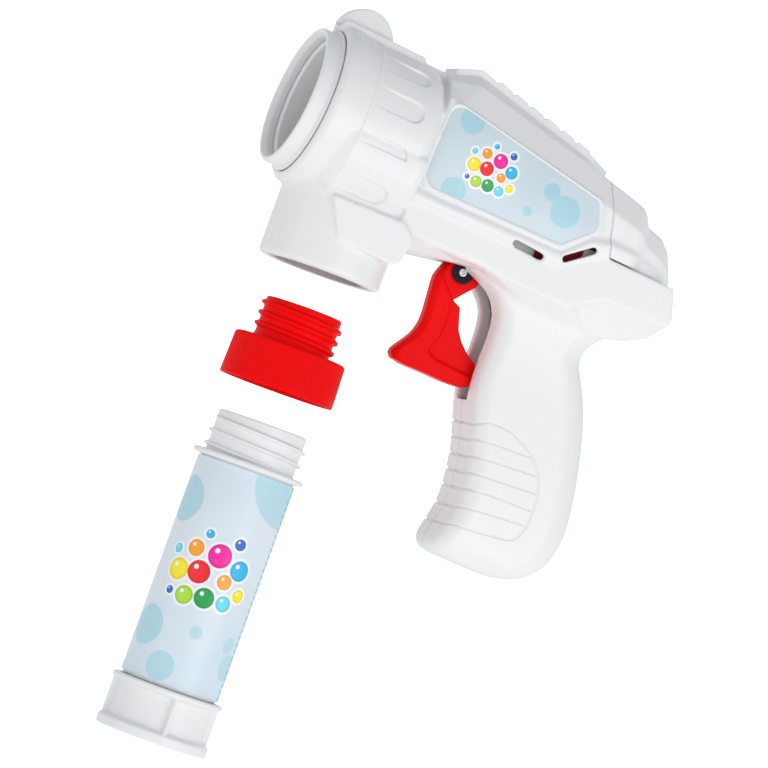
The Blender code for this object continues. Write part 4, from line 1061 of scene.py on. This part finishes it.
VOXEL = 0.45
left, right, rear, door = housing()
for piece in (left, right):
    soften(piece, VOXEL, 3)
    scallop_barrel(piece)
    ease_creases(piece)
carve_grip(left, True)
carve_grip(right, False)
done(left, "left_housing", "gun", ["left_shell"], WHITE, 50)
done(right, "right_housing", "gun", ["right_shell"], WHITE, 50)
soften(rear, 0.4, 3)
done(rear, "rear_housing", "gun", ["rear_cover"], WHITE, 50)


def door_ribs(ob):
    """Ribbed thumb patch on the battery door."""
    co, n = read(ob), normals(ob)
    y, z = co[:, 1], co[:, 2]
    wave = 0.5 - 0.5 * np.cos((z + 66.0) * 2 * math.pi / 2.2)
    area = smooth01((y - 79.0) / 0.8) * smooth01((96.0 - y) / 0.8) * smooth01((-66.0 - z) / 0.4) * smooth01((z + 77.0) / 0.4)
    out = (n[:, 0] < -0.5) & (co[:, 0] < -13.6)
    write(ob, co - n * (0.4 * wave * area * out)[:, None])
    return ob


soften(door, 0.35, 3)
door_ribs(door)
done(door, "battery_hatch", "door", ["battery_door"], WHITE, 50)


# ---- top of the housing ---------------------------------------------------------
def spine():
    slope = (31.2 - 21.4) / (72.2 - 26.5)

    def top(y):
        return 31.2 - (y - 26.5) * slope

    low = [(18.2, 27.6), (26.5, 30.5), (72.2, 20.7), (80.0, 17.8), (80.8, 17.5)]
    rise = [(80.8, 20.2), (73.0, top(73.0) + 2.0)]
    n = 6
    y0, y1 = 32.6, 73.0
    for k in range(n):
        b = y1 - (y1 - y0) * k / n
        a = y1 - (y1 - y0) * (k + 1) / n
        rise += [(b - 0.5, top(b) + 2.9), (a + 1.6, top(a) + 2.7), (a + 0.6, top(a) + 1.8)]
    rise += [(31.6, top(31.6) + 2.2), (26.5, 33.6), (18.2, 30.5)]
    outline = low + rise
    body = loft([[(x, y, z) for y, z in outline] for x in (-7.0, 7.0)])
    return soften(body, 0.22, 2)


done(spine(), "saw_tooth_strip", "gun", ["spine_strip"], WHITE, 50)


def fin():
    c, r = (-14.6, 26.2), 10.3
    loops = []
    for x, inset in ((-3.0, 0.7), (-2.75, 0.25), (-2.3, 0.0), (2.3, 0.0), (2.75, 0.25), (3.0, 0.7)):
        q = r - inset
        arc = [(c[0] + q * math.cos(math.radians(a)), c[1] + q * math.sin(math.radians(a))) for a in range(9, 172, 3)]
        loops.append([(x, y, z) for y, z in arc])
    return loft(loops)


done(fin(), "half_disc_fin", "gun", ["top_fin"], WHITE, 30)


# ---- nozzle -----------------------------------------------------------------------
ring = lathe(
    round_fixed(
        [(22.7, -29.0), (23.9, -29.0), (24.35, -28.0), (24.45, -23.9), (25.3, -23.7), (25.3, -23.0), (24.6, -22.9), (24.6, -12.0), (20.4, -12.0), (20.4, -24.0), (20.9, -24.7),
         (22.3, -24.75), (22.3, -25.2), (21.5, -25.3), (21.7, -27.2)],
        [0.55, 0.75, 1.0, 0.25, 0.2, 0.2, 0.1, 0.2, 0.2, 0.4, 0.2, 0.05, 0.05, 0.25, 1.2], 4,
    ),
    160,
    along_y(),
)
done(ring, "nozzle_rim", "gun", ["nozzle_ring"], WHITE, 40)


def plate():
    body = lathe(round_fixed([(1.7, -15.6), (20.0, -15.6), (20.0, -13.8), (1.7, -13.8)], 0.25, 3), 120, along_y())
    for k in range(12):
        a = 2 * math.pi * k / 12
        body = cut(body, cylinder(2.6, -17, -12, along_y(14.6 * math.cos(a), 14.6 * math.sin(a)), 40))
    for k in range(6):
        a = 2 * math.pi * (k + 0.5) / 6
        body = cut(body, cylinder(2.6, -17, -12, along_y(7.6 * math.cos(a), 7.6 * math.sin(a)), 40))
    return body


done(plate(), "perforated_plate", "gun", ["bubble_plate"], PLATE, 30)


def wiper():
    hub = lathe(round_fixed([(1.5, -18.6), (3.4, -18.6), (3.6, -18.2), (3.6, -16.2), (1.5, -16.2)], [0.2, 0.3, 0.3, 0.2, 0.2], 3), 64, along_y())
    arms = []
    for k in range(3):
        a = 2 * math.pi * k / 3 + 0.3
        d, n = Vector((math.cos(a), math.sin(a))), Vector((-math.sin(a), math.cos(a)))
        pts = rounded([tuple(p) for p in (d * 3.0 - n * 0.9, d * 19.0 - n * 0.6, d * 19.0 + n * 0.6, d * 3.0 + n * 0.9)], [0.1, 0.5, 0.5, 0.1], 4)
        arms.append(prism(pts, -17.9, -16.5, along_y()))
    return join(hub, *arms)


done(wiper(), "film_wiper_arms", "output", ["film_wiper"], RED_DEEP, 30)


# ---- trigger ------------------------------------------------------------------------
def trigger():
    front = [
        (45.4, -26.2), (42.8, -29.2), (40.8, -34.6), (40.8, -37.8), (41.5, -42.7), (42.2, -48.3), (42.2, -52.5), (40.9, -56.9),
        (38.2, -61.3), (36.8, -63.9), (36.8, -65.6), (38.0, -67.0),
    ]
    rest = [
        (42.0, -67.5), (51.0, -67.3), (58.4, -67.3), (63.6, -66.9), (66.0, -65.4),
        (68.4, -63.6), (68.4, -60.4), (65.0, -57.3), (61.6, -55.4), (58.0, -52.4), (55.5, -49.2), (54.1, -45.6), (52.9, -42.1), (49.4, -40.7),
        (55.1, -33.6), (55.4, -30.4), (53.4, -26.6), (50.6, -25.0), (46.6, -25.0),
    ]
    # the front is crowned: full in the middle, falling back towards both sides
    fr = smooth_path([(y, z, 0) for y, z in front], 3)
    fr = [(p.x, p.y) for p in fr]
    loops = []
    xs = [TRIGGER_HALF * math.sin(math.pi / 2 * k / 8) for k in range(-8, 9)]
    for x in xs:
        t = abs(x) / TRIGGER_HALF
        back = 1.9 * max(0.0, (t - 0.35) / 0.65) ** 2
        row = [(y + back, z + (0.5 * back / 1.9 if z < -60 else 0.0)) for y, z in fr] + rest
        loops.append([(x, y, z) for y, z in row])
    body = loft(loops)
    sides = []
    for s in (1, -1):
        pocket = [(48.5, -40.6), (61.0, -40.6), (72.8, -57.8), (72.8, -62.4), (59.1, -62.0), (51.6, -61.7), (48.3, -60.4), (48.2, -58.4), (49.8, -53.6), (49.8, -47.8)]
        loops = []
        for x, g in ((3.2, -0.9), (3.3, -0.4), (3.7, -0.05), (4.4, 0.15), (8.0, 0.2)):
            c = Vector((57.0, -54.0))
            loops.append([(s * x, *(tuple(Vector(p) + (Vector(p) - c).normalized() * g))) for p in rounded(pocket, [0.6, 2, 2, 1, 3.0, 3.0, 1.6, 1.6, 3, 3], 5)])
        sides.append(loft(loops))
    for s in (1, -1):
        facet = [(38.6, -30.2), (41.2, -32.9), (43.9, -36.3), (49.9, -41.1), (60.0, -36.0), (60.0, -20.0), (40.0, -20.0)]
        sides.append(loft([[(s * x, y - g, z - g) for y, z in facet] for x, g in ((4.05, 0.0), (4.6, 0.35), (8.0, 0.35))]))
    body = cut(body, *sides)
    body = soften(body, 0.22, 3)
    return cut(body, cylinder(3.0, -10, 10, along_x(PY, PZ), 64), cylinder(5.0, -1.8, 1.8, along_x(PY, PZ), 64))


done(trigger(), "finger_trigger", "trigger", ["trigger"], RED, 38)
bush = lathe(
    round_fixed([(1.7, -5.2), (3.9, -5.2), (3.9, -4.8), (2.7, -4.8), (2.7, 4.8), (3.9, 4.8), (3.9, 5.2), (1.7, 5.2)], [0.1, 0.15, 0.1, 0.05, 0.05, 0.1, 0.2, 0.1], 3),
    72, along_x(PY, PZ),
)
done(bush, "hub_bush", "gun", ["trigger_bush"], BLACK, 40)
pin = lathe(round_fixed([(0, -9.0), (1.4, -9.0), (1.4, 5.0), (1.1, 5.3), (0, 5.3)], [0, 0.2, 0.15, 0.15, 0], 3), 48, along_x(PY, PZ))
cross = [box(4.5, 8.0, PY - 1.0, PY + 1.0, PZ - 0.24, PZ + 0.24), box(4.5, 8.0, PY - 0.24, PY + 0.24, PZ - 1.0, PZ + 1.0)]
done(cut(pin, *cross), "hub_screw", "gun", ["pivot_screw"], WHITE, 40)


# ---- decals ---------------------------------------------------------------------------
def plan_uv(ob, place):
    """Per-corner map in millimetres, from the vertex positions before scaling."""
    uv = ob.data.uv_layers.new(name="plan")
    co = read(ob)
    flat = place(co)
    loops = np.empty(len(ob.data.loops), np.int32)
    ob.data.loops.foreach_get("vertex_index", loops)
    uv.data.foreach_set("uv", flat[loops].astype(np.float32).ravel())
    return ob


def decal(side):
    loops = []
    for x, g in ((21.3, -0.1), (21.34, 0.0), (21.56, 0.0), (21.6, -0.08)):
        loops.append([(side * x, y, z) for y, z in grown(DECAL, g)])
    return plan_uv(loft(loops), lambda co: co[:, 1:3])


done(decal(1), "decal_film_left", "gun", ["decal_left"], DECAL_PRINT, 30)
done(decal(-1), "decal_film_right", "gun", ["decal_right"], DECAL_PRINT, 30)


# ---- adapter ----------------------------------------------------------------------------
def coil_rib(top, pitch, start, sweep, size, half):
    """Extra radius of a helical thread: it starts at one angle just below top, runs down for sweep degrees, and tapers off at both ends."""

    def extra(a, h):
        best = 0.0
        first = math.degrees(a) - start
        first -= 360.0 * math.floor(first / 360.0)
        while first < sweep:
            centre = top - pitch * first / 360.0
            off = abs(h - centre) / half
            if off < 1.0:
                t = 1.0 - off
                ends = min(1.0, first / 45.0) * min(1.0, (sweep - first) / 45.0)
                best = max(best, size * min(1.0, 1.5 * t * t * (3 - 2 * t)) * ends)
            first += 360.0
        return best

    return extra


def adapter():
    thread = coil_rib(ADAPTER_TOP - 1.7, 3.7, -150.0, 1130.0, 1.2, 1.25)
    outer = []
    h = ADAPTER_TOP - 0.5
    while h > ADAPTER_SHOULDER + 0.5:
        outer.append((13.2, h))
        h -= 0.16
    cap = [(19.4, ADAPTER_SHOULDER - 0.8)]
    h = ADAPTER_SHOULDER - 1.1
    while h > ADAPTER_BOTTOM + 0.7:
        t = (ADAPTER_SHOULDER - 0.8 - h) / (ADAPTER_SHOULDER - 0.8 - ADAPTER_BOTTOM - 0.5)
        cap.append((19.4 + 0.5 * t, h))
        h -= 0.35
    profile = (
        [(11.6, ADAPTER_TOP - 0.2), (11.8, ADAPTER_TOP), (12.8, ADAPTER_TOP), (13.1, ADAPTER_TOP - 0.15)]
        + outer
        + [(13.3, ADAPTER_SHOULDER + 0.2), (13.7, ADAPTER_SHOULDER), (18.0, ADAPTER_SHOULDER), (18.6, ADAPTER_SHOULDER - 0.1), (19.1, ADAPTER_SHOULDER - 0.4)]
        + cap
        + [(19.9, ADAPTER_BOTTOM + 0.5), (19.8, ADAPTER_BOTTOM + 0.15), (19.5, ADAPTER_BOTTOM), (19.0, ADAPTER_BOTTOM), (18.7, ADAPTER_BOTTOM + 0.3), (17.5, ADAPTER_BOTTOM + 3.2), (17.4, ADAPTER_SHOULDER - 2.3),
           (17.1, ADAPTER_SHOULDER - 2.0), (11.9, ADAPTER_SHOULDER - 2.0), (11.6, ADAPTER_SHOULDER - 1.7)]
    )

    def shape(a, r, h):
        if r > 13.0 and r < 13.31 and h > ADAPTER_SHOULDER + 0.3:
            return r + thread(a, h)
        if r > 19.3 and h < ADAPTER_SHOULDER - 0.6:
            # fine upright ribs, ending above a plain band at the foot
            t = min(1.0, max(0.0, (h - (ADAPTER_BOTTOM + 2.6)) / 0.5))
            w = 0.5 + 0.5 * math.cos(100 * a)
            return r - 0.13 * t * w
        return r

    return lathe(profile, 800, BOTTLE, shape)


done(adapter(), "screw_adapter", "adapter", ["adapter"], RED_MATT, 60)


# ---- tube of bubble solution -----------------------------------------------------------------
def bottle():
    thread = coil_rib(BOTTLE_TOP - 2.9, 4.5, -110.0, 850.0, 1.25, 1.0)
    outer = []
    h = BOTTLE_TOP - 0.6
    while h > BOTTLE_FLANGE + 2.0:
        outer.append((15.4, h))
        h -= 0.16
    profile = (
        [(14.0, BOTTLE_TOP - 0.3), (14.3, BOTTLE_TOP), (15.0, BOTTLE_TOP), (15.3, BOTTLE_TOP - 0.25)]
        + outer
        + [
            (15.5, BOTTLE_FLANGE + 1.6), (15.9, BOTTLE_FLANGE + 1.25), (18.7, BOTTLE_FLANGE + 1.2), (19.15, BOTTLE_FLANGE + 0.95), (19.3, BOTTLE_FLANGE + 0.5), (19.3, BOTTLE_FLANGE), (19.15, BOTTLE_FLANGE - 0.4), (18.7, BOTTLE_FLANGE - 0.6),
            (16.8, BOTTLE_FLANGE - 0.8), (16.4, BOTTLE_FLANGE - 1.0), (16.4, -197.4), (15.4, -198.2), (15.4, -211.3), (15.1, -211.6), (0, -211.6), (0, -210.0), (13.6, -210.0), (14.0, -209.6),
        ]
    )

    def shape(a, r, h):
        return r + thread(a, h) if 15.3 < r < 15.45 and h > BOTTLE_FLANGE + 1.8 else r

    return lathe(profile, 216, BOTTLE, shape)


done(bottle(), "solution_tube", "bottle", ["bottle_tube"], WHITE_SOFT, 50)


def label():
    profile = round_fixed([(16.7, -196.9), (17.1, -196.9), (17.1, BOTTLE_FLANGE - 1.4), (16.7, BOTTLE_FLANGE - 1.4)], [0.05, 0.12, 0.12, 0.05], 3)
    ob = lathe(profile, 144, BOTTLE)
    inv = np.array(BOTTLE.inverted())
    # seam of the map at the back of the film, so that no face crosses it in view
    co = read(ob)
    local = co @ inv[:3, :3].T + inv[:3, 3]
    angle = np.arctan2(local[:, 1], local[:, 0])
    flat = np.stack([17.1 * angle, local[:, 2]], 1)
    uv = ob.data.uv_layers.new(name="plan")
    for poly in ob.data.polygons:
        us = [flat[ob.data.loops[li].vertex_index][0] for li in poly.loop_indices]
        wrap = max(us) - min(us) > 17.1 * math.pi
        for li in poly.loop_indices:
            u, v = flat[ob.data.loops[li].vertex_index]
            if wrap and u < 0:
                u += 17.1 * 2 * math.pi
            uv.data[li].uv = (u, v)
    return ob


done(label(), "label_wrap", "bottle", ["bottle_label"], LABEL, 40)


def stand():
    body = lathe(
        round_fixed(
            [
                (15.7, -198.0), (19.2, -198.0), (19.2, -199.8), (16.6, -200.4), (16.6, -211.8), (19.3, -212.8), (19.3, BOTTLE_BOTTOM + 0.4), (18.9, BOTTLE_BOTTOM),
                (17.6, BOTTLE_BOTTOM), (17.2, BOTTLE_BOTTOM + 0.7), (0, BOTTLE_BOTTOM + 0.7), (0, -212.0), (15.7, -212.0),
            ],
            [0.3, 0.7, 0.6, 0.8, 0.9, 0.8, 0.3, 0.3, 0.2, 0.2, 0, 0, 0.2], 4,
        ),
        160,
        BOTTLE,
    )
    ribs = []
    for k in range(4):
        a = math.radians(-3.5 + 90.0 * k)
        d, n = Vector((math.cos(a), math.sin(a))), Vector((-math.sin(a), math.cos(a))) * 0.6
        pts = rounded([tuple(p) for p in (d * 16.2 - n, d * 18.9 - n, d * 18.9 + n, d * 16.2 + n)], [0.05, 0.3, 0.3, 0.05], 3)
        ribs.append(prism(pts, -213.4, -199.4, BOTTLE))
    return soften(join(body, *ribs), 0.3, 3)


done(stand(), "ribbed_foot", "bottle", ["bottle_stand"], WHITE_SOFT, 50)


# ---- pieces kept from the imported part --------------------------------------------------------
KEPT = {
    "air_duct": WHITE, "motor_cradle": CRADLE_PAINTED_GLOW, "impeller": WHITE, "lay_gear": WHITE, "socket_insert": INSERT_PAINTED_SHADE, "suction_nipple": WHITE, "neck_plug": WHITE,
    "fan_housing": RED_DUCT_PAINTED_GLOW, "output_gear": RED_DEEP, "pump_rotor": RED_DEEP,
    "gearbox_frame": GREY, "pump_housing": GREY,
    "switch_body": BLACK, "socket_seal": RUBBER, "adapter_seal": RUBBER,
    "pump_tube": SOFT, "feed_tube": SOFT, "delivery_tube": SOFT, "dip_tube": SOFT,
    "output_shaft": STEEL, "lay_pin": STEEL, "motor_shaft": STEEL, "trigger_spring": STEEL, "switch_lever": STEEL,
    "contact_plate_top": STEEL, "contact_plate_bottom": STEEL,
    "motor_can": CASE, "motor_pinion": BRASS, "battery_front": CELL, "battery_rear": CELL,
}
for k in range(5):
    KEPT["housing_screw_%d" % (k + 1)] = STEEL
for name, mat in KEPT.items():
    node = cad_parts[name]
    node.data.materials.clear()
    node.data.materials.append(mat)
    node.data.shade_smooth()
    node.data.set_sharp_from_angle(angle=math.radians(32))


# ---- stage, lights and camera --------------------------------------------------------------------
def dish():
    """Pale floor that curves up far away."""
    prof = [(0.0, 0.0), (0.5, 0.0), (1.2, 0.0), (1.9, 0.0), (2.3, 0.03), (2.6, 0.12), (2.85, 0.3), (3.0, 0.6), (3.05, 1.0), (3.07, 1.5)]
    verts, faces = [(0, 0, -0.32)], []
    n = 96
    for r, h in prof[1:]:
        for i in range(n):
            a = 2 * math.pi * i / n
            verts.append((r * math.cos(a), r * math.sin(a), h - 0.32))
    for i in range(n):
        faces.append((0, 1 + i, 1 + (i + 1) % n))
    for k in range(len(prof) - 2):
        for i in range(n):
            j = (i + 1) % n
            a = 1 + k * n
            faces.append((a + i, a + j, a + n + j, a + n + i))
    mesh = bpy.data.meshes.new("studio_floor")
    mesh.from_pydata(verts, [], [f[::-1] for f in faces])
    ob = bpy.data.objects.new("studio_floor", mesh)
    bpy.context.scene.collection.objects.link(ob)
    n = Nodes("studio_floor")
    base = n.mix(n.noise(3.0, 2.0), (0.90, 0.91, 0.92), (0.92, 0.93, 0.94))
    mat = n.finish(base, n.ramp(n.noise(9.0), 0.3, 0.7, 0.8, 0.95), n.bump(n.noise(60.0), 2e-4, 0.2), Emission_Color=(1, 1, 1, 1), Emission_Strength=0.95)
    mesh.materials.append(mat)
    mesh.shade_smooth()
    ob.visible_diffuse = ob.visible_glossy = ob.visible_shadow = False
    return ob


dish()


def area(name, where, at, size, power, colour=(1, 1, 1)):
    light = bpy.data.lights.new(name, "AREA")
    light.shape = "RECTANGLE"
    light.size, light.size_y = size
    light.energy = power
    light.color = colour
    ob = bpy.data.objects.new(name, light)
    bpy.context.scene.collection.objects.link(ob)
    ob.location = where
    ob.rotation_euler = (Vector(at) - Vector(where)).to_track_quat("-Z", "Y").to_euler()
    return ob


MIDDLE = Vector((0.0, -0.045, 0.0))
area("key", MIDDLE + Vector((1.2, 0.55, -0.24)), MIDDLE, (0.9, 0.9), 4.9, (1.0, 0.995, 0.985))
area("fill_front", MIDDLE + Vector((0.45, -1.2, -0.35)), MIDDLE, (0.7, 0.9), 1.1, (0.95, 0.98, 1.0))
area("back", MIDDLE + Vector((-1.2, 0.4, 0.5)), MIDDLE, (0.9, 0.9), 2.0, (0.95, 0.98, 1.0))

scene = bpy.context.scene
world = bpy.data.worlds.new("studio")
scene.world = world
world.use_nodes = True
tree = world.node_tree
back = tree.nodes["Background"]
where = tree.nodes.new("ShaderNodeTexCoord")
sep = tree.nodes.new("ShaderNodeSeparateXYZ")
tree.links.new(where.outputs["Generated"], sep.inputs[0])
ramp = tree.nodes.new("ShaderNodeValToRGB")
ramp.color_ramp.elements[0].position = 0.0
ramp.color_ramp.elements[0].color = (1.0, 1.0, 1.0, 1)
ramp.color_ramp.elements[1].position = 1.0
ramp.color_ramp.elements[1].color = (0.50, 0.525, 0.54, 1)
for spot, colour in ((0.38, (0.96, 0.96, 0.96, 1)), (0.56, (0.88, 0.885, 0.89, 1)), (0.78, (0.59, 0.61, 0.625, 1))):
    ramp.color_ramp.elements.new(spot).color = colour
half = tree.nodes.new("ShaderNodeMapRange")
half.inputs["From Min"].default_value = -1.0
tree.links.new(sep.outputs["Z"], half.inputs["Value"])
tree.links.new(half.outputs["Result"], ramp.inputs["Fac"])
tree.links.new(ramp.outputs["Color"], back.inputs["Color"])
back.inputs["Strength"].default_value = 0.9
scene.view_settings.view_transform = "Standard"

# the camera looks almost square onto the left side, from slightly below and in front, and is rolled
TARGET = Vector((0.0, -0.093, 0.085))
R0, U0, C0 = Vector((0.28794, 0.87397, 0.39149)), Vector((-0.00655, -0.40699, 0.91341)), Vector((0.95763, -0.26557, -0.11147))
camera = bpy.data.cameras.new("view")
camera.sensor_width = 36
camera.lens = 209.9
camera.clip_start, camera.clip_end = 0.05, 20
cam = bpy.data.objects.new("view", camera)
scene.collection.objects.link(cam)
eye = TARGET + C0 * 1.5
aim = TARGET + (R0 * 4.89 - U0 * 85.36) * 0.001
c = (eye - aim).normalized()
r = (R0 - c * R0.dot(c)).normalized()
u = c.cross(r)
m = Matrix(((r.x, u.x, c.x, eye.x), (r.y, u.y, c.y, eye.y), (r.z, u.z, c.z, eye.z), (0, 0, 0, 1)))
cam.matrix_world = m
scene.camera = cam
